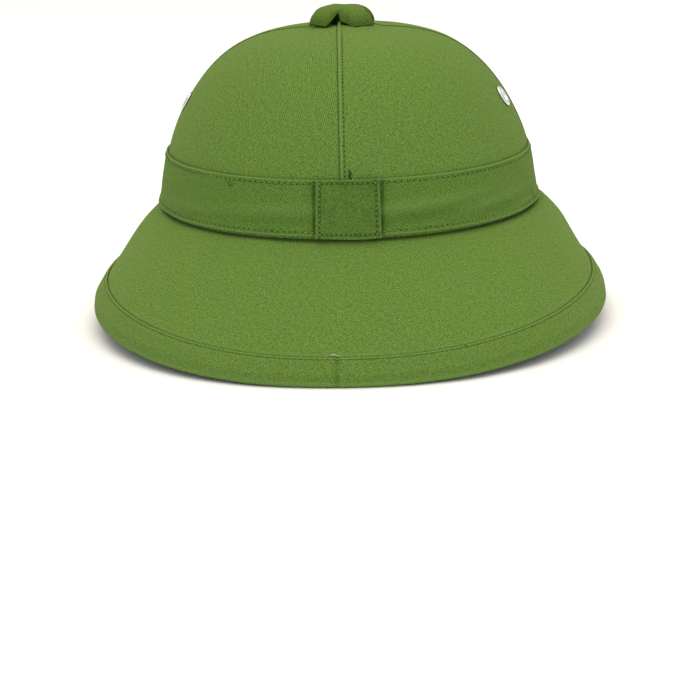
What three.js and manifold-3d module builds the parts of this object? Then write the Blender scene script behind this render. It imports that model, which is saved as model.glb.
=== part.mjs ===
// A cloth-covered pith helmet: a stiff moulded shell under four crown gores, a brim cover, a bound hem,
// a stitched band with its keeper, two ventilation eyelets and a vent cap of two crossing straps.
// Millimetres, +Z up, front towards -Y, wearer's left towards +X.
// The origin is on the ground under the middle of the helmet, which rests on its rim's front and rear.
import * as THREE from 'three';
import { mergeVertices } from 'three/addons/utils/BufferGeometryUtils.js';
import Module from 'manifold-3d';

const wasm = await Module();
wasm.setup();

// The cloth's surface in level sections, from the brim's edge up to the top of the band.
// A section's drop is how much lower it lies at the front and rear than at the sides.
// Its power shapes the plan outline: 2 is an ellipse, more is squarer.
const SECTIONS = [
  { place: 'edge', halfWidth: 135.2, halfLength: 162.4, height: 12.508, drop: 8.6, power: 2.2 },
  { place: 'hem', halfWidth: 128.6, halfLength: 156.7, height: 23.6, drop: 11.3, power: 2.2 },
  { place: 'middle', halfWidth: 113.7, halfLength: 135.3, height: 45.3, drop: 5.4, power: 2.1 },
  { place: 'shoulder', halfWidth: 104, halfLength: 121.8, height: 56.2, drop: 1, power: 2 },
  { place: 'crease', halfWidth: 98.9, halfLength: 115.7, height: 60.1, drop: -0.6, power: 2 },
  { place: 'wall top', halfWidth: 94.3, halfLength: 109.8, height: 88.9, drop: -0.6, power: 2 },
];
const EDGE = 0;
const HEM = 1;
const MIDDLE = 2;
const SHOULDER = 3;
const CREASE = 4;
const WALL_TOP = 5;
const APEX = 6;

// The crown's profile above the wall: its width's share of the wall's is (1 - rise ** p) ** (1 / t),
// with p the profile power and t the top power. The shell ends round the vent hole, the gores beside it.
const APEX_HEIGHT = 151;
const PROFILE_POWER = 1.17;
const TOP_POWER = 3.59;
const VENT_HOLE_SHARE = 0.08;
const GORE_TOP_SHARE = 0.1;

// How far the front and rear seams lean towards the wearer's left by the time they reach the apex,
// and how far to that side the vent cap is sewn
const SEAM_LEAN = 4.6;
const CAP_OFFSET = 1.9;

// Wall thicknesses and the gaps between the layers
const CLOTH = 1;
const CLOTH_GAP = 0.4;
const SHELL = 2.4;
const GAP = 0.3;
const SHELL_OUTSIDE = -(CLOTH + CLOTH_GAP);
const SHELL_INSIDE = SHELL_OUTSIDE - SHELL;
const SEAM_GAP = 0.3;

// The rim: the helmet rests on a short level stretch at its front and rear
const SIDES_AROUND = 52;
const STEP = (2 * Math.PI) / SIDES_AROUND;
const BINDING_RADIUS = 2.6;
const BINDING_LEG = 0.62;
const BINDING_TOP = HEM + 0.04;

// Where the gores and the brim cover end beside the crease, and the band and its keeper on the wall
const GORE_FOOT = CREASE + 0.04;
const COVER_TOP = CREASE + 0.02;
const BAND_THICKNESS = 1.1;
const BAND_FOOT = CREASE + 0.06;
const KEEPER = { width: 31, offCentre: -3.8, foot: CREASE + 0.028, thickness: 1 };

// The eyelets in the crown's sides, seated just behind the side seams
const EYELETS = [
  { name: 'eyelet_left', angle: 5.2, rise: 0.401 },
  { name: 'eyelet_right', angle: 168.3, rise: 0.433 },
];
const EYELET = {
  flangeRadius: 5.8, boreRadius: 2.8, barrelRadius: 3.5, dome: 1.3, lipRadius: 4.8, lip: 0.8,
};
const EYELET_SIDES = 16;
const EYELET_HOLE_RADIUS = EYELET.barrelRadius + GAP;

// The two padded straps that cross over the vent hole, each on its own diagonal.
// The one below dips in the middle.
const STRAP = { width: 15, thickness: 2.2, reach: 16.4, archPower: 2.4, dipReach: 4.2 };
const STRAPS = [
  { name: 'vent_strap_under', diagonal: 45, arch: 7.4, dip: 4.2 },
  { name: 'vent_strap_over', diagonal: 135, arch: 7.4 + STRAP.thickness + GAP, dip: 0 },
];

const CLOTH_GREEN = 0x6a8a3c;
const BAND_GREEN = 0x5c7a36;
const SHELL_GREY = 0xb9b2a0;
const METAL_GREY = 0xb8bcc0;

function clothMaterial(color) {
  return new THREE.MeshStandardMaterial({ color, roughness: 0.95, metalness: 0 });
}

// A smooth value between four even samples, by a Catmull-Rom curve
function smooth(before, start, end, after, share) {
  const slopeIn = (end - before) / 2;
  const slopeOut = (after - start) / 2;
  const square = share * share;
  const cube = square * share;
  return (
    (2 * cube - 3 * square + 1) * start +
    (cube - 2 * square + share) * slopeIn +
    (3 * square - 2 * cube) * end +
    (cube - square) * slopeOut
  );
}

// The brim's section at a row between the edge and the crease
function brimSection(row) {
  const index = Math.min(Math.floor(row), CREASE - 1);
  const share = row - index;
  const start = SECTIONS[index];
  const end = SECTIONS[index + 1];
  const before = SECTIONS[Math.max(index - 1, EDGE)];
  const after = SECTIONS[Math.min(index + 2, CREASE)];
  const between = (column) =>
    smooth(before[column], start[column], end[column], after[column], share);
  return {
    halfWidth: between('halfWidth'),
    halfLength: between('halfLength'),
    height: between('height'),
    drop: between('drop'),
    power: between('power'),
  };
}

// The wall's section at a row between the crease and the wall's top
function wallSection(row) {
  const share = row - CREASE;
  const foot = SECTIONS[CREASE];
  const top = SECTIONS[WALL_TOP];
  return {
    halfWidth: THREE.MathUtils.lerp(foot.halfWidth, top.halfWidth, share),
    halfLength: THREE.MathUtils.lerp(foot.halfLength, top.halfLength, share),
    height: THREE.MathUtils.lerp(foot.height, top.height, share),
    drop: top.drop,
    power: top.power,
  };
}

// The crown's section at a row between the wall's top and the apex
function crownSection(row) {
  const top = SECTIONS[WALL_TOP];
  const turn = ((row - WALL_TOP) * Math.PI) / 2;
  const rise = Math.sin(turn) ** (2 / PROFILE_POWER);
  const share = Math.max(Math.cos(turn), 0) ** (2 / TOP_POWER);
  return {
    halfWidth: top.halfWidth * share,
    halfLength: top.halfLength * share,
    height: THREE.MathUtils.lerp(top.height, APEX_HEIGHT, rise),
    drop: top.drop * share,
    power: top.power,
  };
}

function sectionAt(row) {
  if (row <= CREASE) return brimSection(row);
  if (row <= WALL_TOP) return wallSection(row);
  return crownSection(row);
}

// The crown's row where its half width is the given share of the wall's
function crownRow(share) {
  return WALL_TOP + Math.acos(share ** (TOP_POWER / 2)) / (Math.PI / 2);
}

function signedPower(value, exponent) {
  return Math.sign(value) * Math.abs(value) ** exponent;
}

// A point of the cloth's surface. The drop levels out over one step beside the front and the rear.
function surfacePoint(angle, row) {
  const section = sectionAt(row);
  const sideways = Math.cos(angle);
  const endwards = Math.sin(angle);
  const exponent = 2 / section.power;
  const levelShare = Math.sin(Math.PI / 2 - STEP / 2) ** 2;
  const dropShare = Math.min(endwards * endwards, levelShare) / levelShare;
  return new THREE.Vector3(
    section.halfWidth * signedPower(sideways, exponent),
    section.halfLength * signedPower(endwards, exponent),
    section.height - section.drop * dropShare,
  );
}

// The outward normal, taken as the mean of those just below and just above the row
function surfaceNormal(angle, row) {
  const small = 1e-3;
  const around = surfacePoint(angle + small, row).sub(surfacePoint(angle - small, row));
  const normal = new THREE.Vector3();
  for (const [low, high] of [[row - small, row], [row, row + small]]) {
    if (low < EDGE || high > APEX) continue;
    const up = surfacePoint(angle, high).sub(surfacePoint(angle, low));
    normal.add(around.clone().cross(up).normalize());
  }
  return normal.normalize();
}

function offsetPoint(angle, row, offset) {
  return surfacePoint(angle, row).addScaledVector(surfaceNormal(angle, row), offset);
}

// Rows between two rows, evenly spaced along the helmet's side profile
function evenRows(from, to, count) {
  const samples = 400;
  const rows = [from];
  const lengths = [0];
  for (let i = 1; i <= samples; i += 1) {
    const row = from + ((to - from) * i) / samples;
    const stretch = surfacePoint(0, row).distanceTo(surfacePoint(0, rows[i - 1]));
    rows.push(row);
    lengths.push(lengths[i - 1] + stretch);
  }
  const total = lengths[samples];
  return Array.from({ length: count + 1 }, (unused, step) => {
    const wanted = (total * step) / count;
    const next = lengths.findIndex((length) => length >= wanted - 1e-9);
    return rows[next];
  });
}

function evenSteps(from, to, count) {
  return Array.from({ length: count + 1 }, (unused, i) => from + ((to - from) * i) / count);
}

// All angles around the helmet, half a step off the centre line so that a facet lies across it
const AROUND = Array.from({ length: SIDES_AROUND }, (unused, i) => (i + 0.5) * STEP);

// Turns a closed mesh's faces outward
function facedOutward(positions, triangles) {
  let volume = 0;
  for (let i = 0; i < triangles.length; i += 3) {
    const [a, b, c] = triangles.slice(i, i + 3).map((corner) => positions[corner]);
    volume += a.dot(b.clone().cross(c));
  }
  if (volume < 0) {
    for (let i = 0; i < triangles.length; i += 3) {
      [triangles[i + 1], triangles[i + 2]] = [triangles[i + 2], triangles[i + 1]];
    }
  }
  const geometry = new THREE.BufferGeometry().setFromPoints(positions);
  geometry.setIndex(triangles);
  return geometry;
}

// A closed solid through sections that each have an outer and an inner path of as many points.
// It closes on itself, or ends in flat faces at its first and last sections.
function loft(sections, closesOnItself) {
  const loops = sections.map(({ outer, inner }) => [...outer, ...[...inner].reverse()]);
  const size = loops[0].length;
  const half = size / 2;
  const positions = loops.flat();
  const triangles = [];
  const spans = closesOnItself ? loops.length : loops.length - 1;
  for (let i = 0; i < spans; i += 1) {
    const near = i * size;
    const far = ((i + 1) % loops.length) * size;
    for (let j = 0; j < size; j += 1) {
      const next = (j + 1) % size;
      triangles.push(near + j, far + j, far + next, near + j, far + next, near + next);
    }
  }
  if (!closesOnItself) {
    const last = (loops.length - 1) * size;
    for (let j = 0; j < half - 1; j += 1) {
      const across = size - 1 - j;
      triangles.push(j, j + 1, across - 1, j, across - 1, across);
      triangles.push(last + j, last + across - 1, last + j + 1, last + j, last + across, last + across - 1);
    }
  }
  return facedOutward(positions, triangles);
}

// The wall between two offsets of the helmet's surface, over lists of angles and rows
function wall({ angles, rows, outside, inside, closesOnItself }) {
  const sections = angles.map((angle) => ({
    outer: rows.map((row) => offsetPoint(angle, row, outside)),
    inner: rows.map((row) => offsetPoint(angle, row, inside)),
  }));
  return loft(sections, closesOnItself);
}

function toSolid(geometry) {
  const bare = geometry.clone();
  bare.deleteAttribute('normal');
  bare.deleteAttribute('uv');
  const merged = mergeVertices(bare, 1e-4);
  const vertProperties = new Float32Array(merged.attributes.position.array);
  const triVerts = new Uint32Array(merged.index.array);
  return new wasm.Manifold(new wasm.Mesh({ numProp: 3, vertProperties, triVerts }));
}

function toGeometry(solid) {
  const { vertProperties, triVerts } = solid.getMesh();
  const geometry = new THREE.BufferGeometry();
  geometry.setAttribute('position', new THREE.BufferAttribute(vertProperties, 3));
  geometry.setIndex(new THREE.BufferAttribute(triVerts, 1));
  return geometry;
}

// Where an eyelet sits: its middle on the cloth and a turn that lays its axis along the normal
function eyeletPlace({ angle, rise }) {
  const turn = Math.asin(rise ** (PROFILE_POWER / 2));
  const row = WALL_TOP + turn / (Math.PI / 2);
  const around = THREE.MathUtils.degToRad(angle);
  const normal = surfaceNormal(around, row);
  return {
    middle: surfacePoint(around, row),
    turn: new THREE.Quaternion().setFromUnitVectors(new THREE.Vector3(0, 1, 0), normal),
  };
}

// Cuts the eyelets' round holes through a piece of the crown
function withEyeletHoles(geometry, eyelets) {
  let solid = toSolid(geometry);
  for (const eyelet of eyelets) {
    const { middle, turn } = eyeletPlace(eyelet);
    const depth = 4 * (SHELL + CLOTH);
    const drill = new THREE.CylinderGeometry(EYELET_HOLE_RADIUS, EYELET_HOLE_RADIUS, depth, EYELET_SIDES);
    drill.applyQuaternion(turn).translate(middle.x, middle.y, middle.z);
    solid = solid.subtract(toSolid(drill));
  }
  return toGeometry(solid);
}

function named(name, geometry, material) {
  const mesh = new THREE.Mesh(geometry, material);
  mesh.name = name;
  return mesh;
}

// The stiff moulded shell: crown and brim in one, open below
function makeShell() {
  const rows = [
    EDGE, HEM, (HEM + MIDDLE) / 2, MIDDLE, (MIDDLE + SHOULDER) / 2, SHOULDER, CREASE,
    ...evenRows(WALL_TOP, crownRow(VENT_HOLE_SHARE), 9),
  ];
  const geometry = wall({
    angles: AROUND, rows, outside: SHELL_OUTSIDE, inside: SHELL_INSIDE, closesOnItself: true,
  });
  const material = new THREE.MeshStandardMaterial({ color: SHELL_GREY, roughness: 0.9, metalness: 0 });
  return named('helmet_shell', withEyeletHoles(geometry, EYELETS), material);
}

// Where the front and rear seams cross a row: their sideways place and the angle that it lies at
function seamCrossing(row) {
  const { halfWidth } = sectionAt(row);
  const share = Math.min(halfWidth / SECTIONS[WALL_TOP].halfWidth, 1);
  const x = SEAM_LEAN * (1 - share);
  return { x, angle: Math.acos(x / halfWidth) };
}

// The four cloth gores over the crown, each kept half a seam's gap clear of the seams
function makeGores() {
  const quarters = [
    { name: 'crown_gore_rear_left', sideX: 1, sideY: 1, eyelets: [EYELETS[0]] },
    { name: 'crown_gore_rear_right', sideX: -1, sideY: 1, eyelets: [EYELETS[1]] },
    { name: 'crown_gore_front_right', sideX: -1, sideY: -1, eyelets: [] },
    { name: 'crown_gore_front_left', sideX: 1, sideY: -1, eyelets: [] },
  ];
  const rows = [GORE_FOOT, ...evenRows(WALL_TOP, crownRow(GORE_TOP_SHARE), 9)];
  const shares = evenSteps(0, 1, SIDES_AROUND / 4);
  const gores = new THREE.Group();
  for (const { name, sideX, sideY, eyelets } of quarters) {
    const pointAt = (share, row, offset) => {
      const seam = seamCrossing(row);
      const sideSeam = sideX > 0 ? 0 : Math.PI;
      const angle = sideY * THREE.MathUtils.lerp(sideSeam, seam.angle, share);
      const point = offsetPoint(angle, row, offset);
      const clearX = Math.max(sideX * (point.x - seam.x), SEAM_GAP / 2);
      const clearY = Math.max(sideY * point.y, SEAM_GAP / 2);
      return new THREE.Vector3(seam.x + sideX * clearX, sideY * clearY, point.z);
    };
    const sections = shares.map((share) => ({
      outer: rows.map((row) => pointAt(share, row, 0)),
      inner: rows.map((row) => pointAt(share, row, -CLOTH)),
    }));
    const geometry = withEyeletHoles(loft(sections, false), eyelets);
    gores.add(named(name, geometry, clothMaterial(CLOTH_GREEN)));
  }
  return gores;
}

// The one-piece cloth cover of the brim's upper side, whose lower edge ends under the binding
function makeBrimCover() {
  const rows = [
    HEM - BINDING_LEG, HEM, (HEM + MIDDLE) / 2, MIDDLE, (MIDDLE + SHOULDER) / 2, SHOULDER, CREASE,
    COVER_TOP,
  ];
  const geometry = wall({ angles: AROUND, rows, outside: 0, inside: -CLOTH, closesOnItself: true });
  return named('brim_cover', geometry, clothMaterial(CLOTH_GREEN));
}

// The cloth strip that wraps the brim's edge: an outer leg, a rounded fold and an inner leg.
// The fold's lowest facet is level, and the helmet rests on it at the front and rear.
function makeHemBinding() {
  const foldTurns = [20, -25, -70, -110, -140];
  const middleOffset = (SHELL_OUTSIDE + SHELL_INSIDE) / 2;
  const outerSkin = GAP + CLOTH;
  const innerSkin = SHELL_INSIDE - GAP;
  const sections = AROUND.map((angle) => {
    const fold = offsetPoint(angle, EDGE, middleOffset);
    const outward = surfaceNormal(angle, EDGE).setZ(0).normalize();
    const foldPoint = (degrees, radius) => {
      const turn = THREE.MathUtils.degToRad(degrees);
      const point = fold.clone().addScaledVector(outward, radius * Math.cos(turn));
      point.z += radius * Math.sin(turn);
      return point;
    };
    const legs = (outside, inside, radius) => [
      offsetPoint(angle, BINDING_TOP, outside),
      offsetPoint(angle, HEM - BINDING_LEG, outside),
      ...foldTurns.map((degrees) => foldPoint(degrees, radius)),
      offsetPoint(angle, HEM - BINDING_LEG, inside),
      offsetPoint(angle, BINDING_TOP, inside),
    ];
    return {
      outer: legs(outerSkin, innerSkin - CLOTH, BINDING_RADIUS),
      inner: legs(GAP, innerSkin, BINDING_RADIUS - CLOTH),
    };
  });
  return named('hem_binding', loft(sections, true), clothMaterial(CLOTH_GREEN));
}

// The cloth band round the crown's foot, standing just off the brim
function makeBand() {
  const angles = evenSteps(0, 2 * Math.PI, SIDES_AROUND).slice(1);
  const rows = [BAND_FOOT, (BAND_FOOT + WALL_TOP) / 2, WALL_TOP];
  const geometry = wall({
    angles, rows, outside: GAP + BAND_THICKNESS, inside: GAP, closesOnItself: true,
  });
  return named('hat_band', geometry, clothMaterial(BAND_GREEN));
}

// The rectangular patch stitched over the band at the rear, a little to the right of the seam
function makeKeeper() {
  const { halfWidth } = SECTIONS[CREASE];
  const angleAt = (x) => Math.acos(x / halfWidth);
  const angles = evenSteps(
    angleAt(KEEPER.offCentre + KEEPER.width / 2),
    angleAt(KEEPER.offCentre - KEEPER.width / 2),
    6,
  );
  const inside = GAP + BAND_THICKNESS + GAP;
  const rows = evenSteps(KEEPER.foot, WALL_TOP, 3);
  const geometry = wall({ angles, rows, outside: inside + KEEPER.thickness, inside });
  return named('band_keeper', geometry, clothMaterial(BAND_GREEN));
}

// A ventilation eyelet: a domed flange on the cloth, a barrel through the wall and a rolled lip inside
function makeEyelet(eyelet) {
  const { flangeRadius, boreRadius, barrelRadius, dome, lipRadius, lip } = EYELET;
  const seat = 0.2;
  const rim = seat + 0.3;
  const lipTop = SHELL_INSIDE - 1.6 * GAP;
  const profile = [
    [boreRadius, lipTop - lip], [lipRadius - 0.4, lipTop - lip], [lipRadius, lipTop - lip / 2],
    [lipRadius, lipTop], [barrelRadius, lipTop], [barrelRadius, seat], [flangeRadius, seat],
    [flangeRadius, rim], [(flangeRadius + boreRadius) / 2, dome], [boreRadius + 0.4, dome - 0.2],
    [boreRadius, rim],
  ].map(([radius, height]) => new THREE.Vector2(radius, height));
  profile.push(profile[0].clone());
  const geometry = new THREE.LatheGeometry(profile, EYELET_SIDES);
  geometry.deleteAttribute('normal');
  geometry.deleteAttribute('uv');
  const material = new THREE.MeshStandardMaterial({ color: METAL_GREY, roughness: 0.35, metalness: 1 });
  const mesh = named(eyelet.name, mergeVertices(geometry, 1e-4), material);
  const { middle, turn } = eyeletPlace(eyelet);
  mesh.position.copy(middle);
  mesh.quaternion.copy(turn);
  return mesh;
}

// A padded strap that arches over the vent hole from one side of the crown to the other
function makeStrap({ name, diagonal, arch, dip }) {
  const { width, thickness, reach, archPower, dipReach } = STRAP;
  const spans = 12;
  const edgeShare = 0.7;
  const across = [
    { aside: -width / 2, thick: edgeShare }, { aside: -width / 3, thick: 1 },
    { aside: width / 3, thick: 1 }, { aside: width / 2, thick: edgeShare },
  ];
  const sections = evenSteps(0, Math.PI, spans).map((turn) => {
    const alongShare = signedPower(Math.cos(turn), 2 / archPower);
    const riseShare = Math.sin(turn) ** (2 / archPower);
    const sunk = dip * Math.exp(-(((reach * alongShare) / dipReach) ** 2));
    const normal = new THREE.Vector2(
      signedPower(alongShare, archPower - 1) / reach,
      riseShare ** (archPower - 1) / arch,
    ).normalize();
    const skin = (side) =>
      across.map(({ aside, thick }) => {
        const offset = (side * thick * thickness) / 2;
        return new THREE.Vector3(
          reach * alongShare + normal.x * offset,
          aside,
          arch * riseShare - sunk + normal.y * offset,
        );
      });
    return { outer: skin(1), inner: skin(-1) };
  });
  const mesh = named(name, loft(sections, false), clothMaterial(CLOTH_GREEN));
  mesh.position.z = APEX_HEIGHT + GAP;
  mesh.rotation.z = THREE.MathUtils.degToRad(diagonal);
  return mesh;
}

const ventCap = new THREE.Group();
ventCap.add(...STRAPS.map(makeStrap));
ventCap.position.x = CAP_OFFSET;

const crown = new THREE.Group();
crown.add(makeShell(), makeGores(), ...EYELETS.map(makeEyelet), ventCap);

const brim = new THREE.Group();
brim.add(makeBrimCover(), makeHemBinding());

const band = new THREE.Group();
band.add(makeBand(), makeKeeper());

const pithHelmet = new THREE.Group();
pithHelmet.add(crown, brim, band);

export default pithHelmet;
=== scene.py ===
"""A cloth-covered pith helmet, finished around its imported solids.

Lengths are in metres: +Z up, front towards -Y, the wearer's left towards +X. The helmet rests on its rim
at z = 0. A place on it is an angle, from the wearer's left towards the rear, and a row, from the brim's
edge up to the apex.
"""

from __future__ import annotations

import logging
import math
from dataclasses import dataclass, field
from enum import Enum

import bpy
import numpy as np
from mathutils import Matrix, Vector


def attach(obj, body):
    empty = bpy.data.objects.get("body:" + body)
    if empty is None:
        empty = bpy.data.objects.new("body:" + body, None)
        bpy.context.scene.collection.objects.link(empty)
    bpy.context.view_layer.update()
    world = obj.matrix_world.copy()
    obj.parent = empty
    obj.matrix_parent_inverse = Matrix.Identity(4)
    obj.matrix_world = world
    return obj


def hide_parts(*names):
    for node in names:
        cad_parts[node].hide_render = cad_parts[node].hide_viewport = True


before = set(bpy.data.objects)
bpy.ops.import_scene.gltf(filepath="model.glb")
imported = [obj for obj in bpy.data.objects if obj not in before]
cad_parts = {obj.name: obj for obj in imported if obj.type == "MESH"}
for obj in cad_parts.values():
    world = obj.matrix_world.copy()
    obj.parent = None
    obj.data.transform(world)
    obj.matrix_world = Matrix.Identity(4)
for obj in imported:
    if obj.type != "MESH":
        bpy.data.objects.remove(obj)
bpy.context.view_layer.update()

MM = 0.001
EDGE, HEM, MIDDLE, SHOULDER, CREASE, WALL_TOP, APEX = range(7)
REAR = math.pi / 2
ROOT = "root"
WEAVE_MAP = "weave"
log = logging.getLogger("pith_helmet")

Colour = tuple[float, float, float]
Triple = tuple[float, float, float]
Line = tuple[np.ndarray, np.ndarray]


class Slot(Enum):
    """The record's material slots."""

    SHELL = "shell"
    CLOTH = "cloth"
    BINDING = "binding_cloth"
    BAND = "band_cloth"
    METAL = "eyelet_metal"


class Side(Enum):
    """Which side of the helmet a gore or an eyelet is on."""

    LEFT = 1
    RIGHT = -1


class End(Enum):
    """Which end of the helmet a gore covers."""

    REAR = 1
    FRONT = -1


class SeamEdge(Enum):
    """How a gore's edge lies at a seam: over the folded allowances, or against them."""

    RIDGE = "ridge"
    LOW = "low"


@dataclass(frozen=True)
class Section:
    """A level section of the cloth's surface. Its drop is how much lower it lies at the front and rear."""

    half_width: float
    half_length: float
    height: float
    drop: float
    power: float


@dataclass(frozen=True)
class HelmetForm:
    """The cloth's outer surface, from the brim's edge up to the apex.

    Attributes:
        profile_power: how full the crown's upright outline is.
        top_power: how flat its top is.
        seam_lean: how far the rear seam leans to the left at the apex.
        wall_climb: the length up the wall, from CREASE to WALL_TOP.
    """

    edge: Section = Section(0.1352, 0.1624, 0.012508, 0.0086, 2.2)
    hem: Section = Section(0.1286, 0.1567, 0.0236, 0.0113, 2.2)
    middle: Section = Section(0.1137, 0.1353, 0.0453, 0.0054, 2.1)
    shoulder: Section = Section(0.104, 0.1218, 0.0562, 0.001, 2)
    crease: Section = Section(0.0989, 0.1157, 0.0601, -0.0006, 2)
    wall_top: Section = Section(0.0943, 0.1098, 0.0889, -0.0006, 2)
    apex_height: float = 0.151
    profile_power: float = 1.17
    top_power: float = 3.59
    seam_lean: float = 0.0046
    wall_climb: float = 29.4 * MM

    def _table(self) -> np.ndarray:
        """The sections as rows of numbers."""
        names = (self.edge, self.hem, self.middle, self.shoulder, self.crease, self.wall_top)
        return np.array([[s.half_width, s.half_length, s.height, s.drop, s.power] for s in names])

    def section(self, row: np.ndarray | float) -> np.ndarray:
        """The section's five numbers at each row.

        Args:
            row: rows from EDGE to APEX.

        Returns:
            An array with one more axis: half width, half length, height, drop and power.
        """
        row = np.asarray(row, float)
        table = self._table()
        index = np.clip(np.floor(row).astype(int), EDGE, CREASE - 1)
        share = (row - index)[..., None]
        before, start = table[np.maximum(index - 1, EDGE)], table[index]
        end, after = table[index + 1], table[np.minimum(index + 2, CREASE)]
        square, cube = share**2, share**3
        brim = (
            (2 * cube - 3 * square + 1) * start
            + (cube - 2 * square + share) * (end - before) / 2
            + (3 * square - 2 * cube) * end
            + (cube - square) * (after - start) / 2
        )
        climb = np.clip(row - CREASE, 0, 1)[..., None]
        wall = table[CREASE] * (1 - climb) + table[WALL_TOP] * climb
        turn = np.clip(row - WALL_TOP, 0, 1) * math.pi / 2
        rise = np.sin(turn) ** (2 / self.profile_power)
        width_share = np.maximum(np.cos(turn), 0) ** (2 / self.top_power)
        top = self.wall_top
        crown = np.stack(
            [
                top.half_width * width_share,
                top.half_length * width_share,
                top.height + (self.apex_height - top.height) * rise,
                top.drop * width_share,
                np.full_like(turn, top.power),
            ],
            axis=-1,
        )
        place = row[..., None]
        return np.where(place <= CREASE, brim, np.where(place <= WALL_TOP, wall, crown))

    def crown_row(self, share: float) -> float:
        """The crown's row where its half width is that share of the wall's."""
        return WALL_TOP + math.acos(share ** (self.top_power / 2)) / (math.pi / 2)

    def rise_row(self, rise: float) -> float:
        """The crown's row at that share of its height."""
        return WALL_TOP + math.asin(rise ** (self.profile_power / 2)) / (math.pi / 2)

    def point(self, angle: np.ndarray | float, row: np.ndarray | float) -> np.ndarray:
        """Points of the surface.

        Args:
            angle: angles, from the wearer's left towards the rear.
            row: rows, of a shape that fits the angles'.

        Returns:
            The points, with x, y and z on the last axis.
        """
        angle, row = np.broadcast_arrays(np.asarray(angle, float), np.asarray(row, float))
        width, length, height, drop, power = np.moveaxis(self.section(row), -1, 0)
        sideways, endwards = np.cos(angle), np.sin(angle)
        exponent = 2 / power
        return np.stack(
            [
                width * np.sign(sideways) * np.abs(sideways) ** exponent,
                length * np.sign(endwards) * np.abs(endwards) ** exponent,
                height - drop * endwards**2,
            ],
            axis=-1,
        )

    def normal(self, angle: np.ndarray, row: np.ndarray | float) -> np.ndarray:
        """Outward unit normals, each the mean of those just below and just above its row.

        Args:
            angle: angles, from the wearer's left towards the rear.
            row: rows, of a shape that fits the angles'.

        Returns:
            The normals.
        """
        small = 1e-3
        around = self.point(angle + small, row) - self.point(angle - small, row)
        total = np.zeros_like(around)
        for low, high in ((-small, 0.0), (0.0, small)):
            lower, upper = np.maximum(row + low, EDGE), np.minimum(row + high, APEX)
            total += unit(np.cross(around, self.point(angle, upper) - self.point(angle, lower)))
        return unit(total)

    def offset(
        self, angle: np.ndarray, row: np.ndarray | float, distance: np.ndarray | float
    ) -> np.ndarray:
        """Points a distance outside the surface.

        Args:
            angle: angles, from the wearer's left towards the rear.
            row: rows, of a shape that fits the angles'.
            distance: how far outside they lie.

        Returns:
            The points.
        """
        points = self.point(angle, row)
        return points + self.normal(angle, row) * np.broadcast_to(distance, points.shape[:-1])[..., None]

    def line(self, angle: np.ndarray, row: np.ndarray | float, lift: float) -> Line:
        """A line's points, lifted off the surface, and the ways that the surface faces there."""
        return self.offset(angle, row, lift), self.normal(angle, row)

    def even_rows(self, start: float, end: float, count: int, angle: float = 0.0) -> np.ndarray:
        """Rows evenly spaced along the profile at an angle.

        Args:
            start: the first row.
            end: the last row.
            count: how many rows.
            angle: where the profile is taken.

        Returns:
            The rows, from start to end.
        """
        rows = np.linspace(start, end, 2000)
        steps = np.linalg.norm(np.diff(self.point(angle, rows), axis=0), axis=1)
        lengths = np.concatenate([[0], np.cumsum(steps)])
        return np.interp(np.linspace(0, lengths[-1], count), lengths, rows)

    def seam_angle(self, row: np.ndarray) -> np.ndarray:
        """The angle of the rear seam at each row. It leans to the wearer's left towards the apex.

        Args:
            row: rows from EDGE to APEX.

        Returns:
            The angles.
        """
        half_width = self.section(row)[..., 0]
        share = np.minimum(half_width / self.wall_top.half_width, 1)
        return np.arccos(self.seam_lean * (1 - share) / half_width)


@dataclass(frozen=True)
class Layers:
    """Wall thicknesses, and the gaps between the layers of the wall."""

    cloth: float = 1.0 * MM
    shell: float = 2.4 * MM
    shell_outside: float = -1.4 * MM
    gap: float = 0.3 * MM
    band: float = 1.1 * MM

    @property
    def shell_inside(self) -> float:
        """The shell's inner face."""
        return self.shell_outside - self.shell

    @property
    def band_outside(self) -> float:
        """The band's outer face."""
        return self.gap + self.band


def unit(vectors: np.ndarray) -> np.ndarray:
    """The vectors at length 1."""
    return vectors / np.maximum(np.linalg.norm(vectors, axis=-1, keepdims=True), 1e-12)


def hump(distance: np.ndarray, middle: float, width: float) -> np.ndarray:
    """A smooth bump of height 1 at a distance, with the given width."""
    return np.exp(-(((distance - middle) / width) ** 2))


def ramp(value: np.ndarray, start: float, end: float) -> np.ndarray:
    """A smooth step from 0 at start to 1 at end."""
    share = np.clip((value - start) / (end - start), 0, 1)
    return share * share * (3 - 2 * share)


def unevenness(points: np.ndarray, wavelength: Triple, seed: int) -> np.ndarray:
    """Soft unevenness between about -1 and 1, the same at each run.

    Args:
        points: places, with x, y and z on the last axis.
        wavelength: the usual size of a swell along each axis.
        seed: chooses the pattern.

    Returns:
        A value for each place.
    """
    draw = np.random.default_rng(seed)
    waves = 9
    total = np.zeros(points.shape[:-1])
    for _ in range(waves):
        direction = unit(draw.normal(size=3)) * draw.uniform(0.7, 1.5)
        phase = draw.uniform(0, 2 * math.pi)
        total += np.cos(2 * math.pi * (points / np.array(wavelength)) @ direction + phase)
    return total / math.sqrt(2 * waves)


def turns(count: int) -> np.ndarray:
    """That many even angles round the helmet, from the wearer's left."""
    return np.arange(count) * 2 * math.pi / count


def path_lengths(points: np.ndarray, axis: int) -> np.ndarray:
    """Lengths along one axis of a grid of points, from 0 at its start.

    Args:
        points: the grid, with x, y and z on the last axis.
        axis: the axis that the lengths run along.

    Returns:
        The length at each point.
    """
    steps = np.linalg.norm(np.diff(points, axis=axis), axis=-1)
    shape = list(steps.shape)
    shape[axis] = 1
    return np.concatenate([np.zeros(shape), np.cumsum(steps, axis=axis)], axis=axis)


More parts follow.
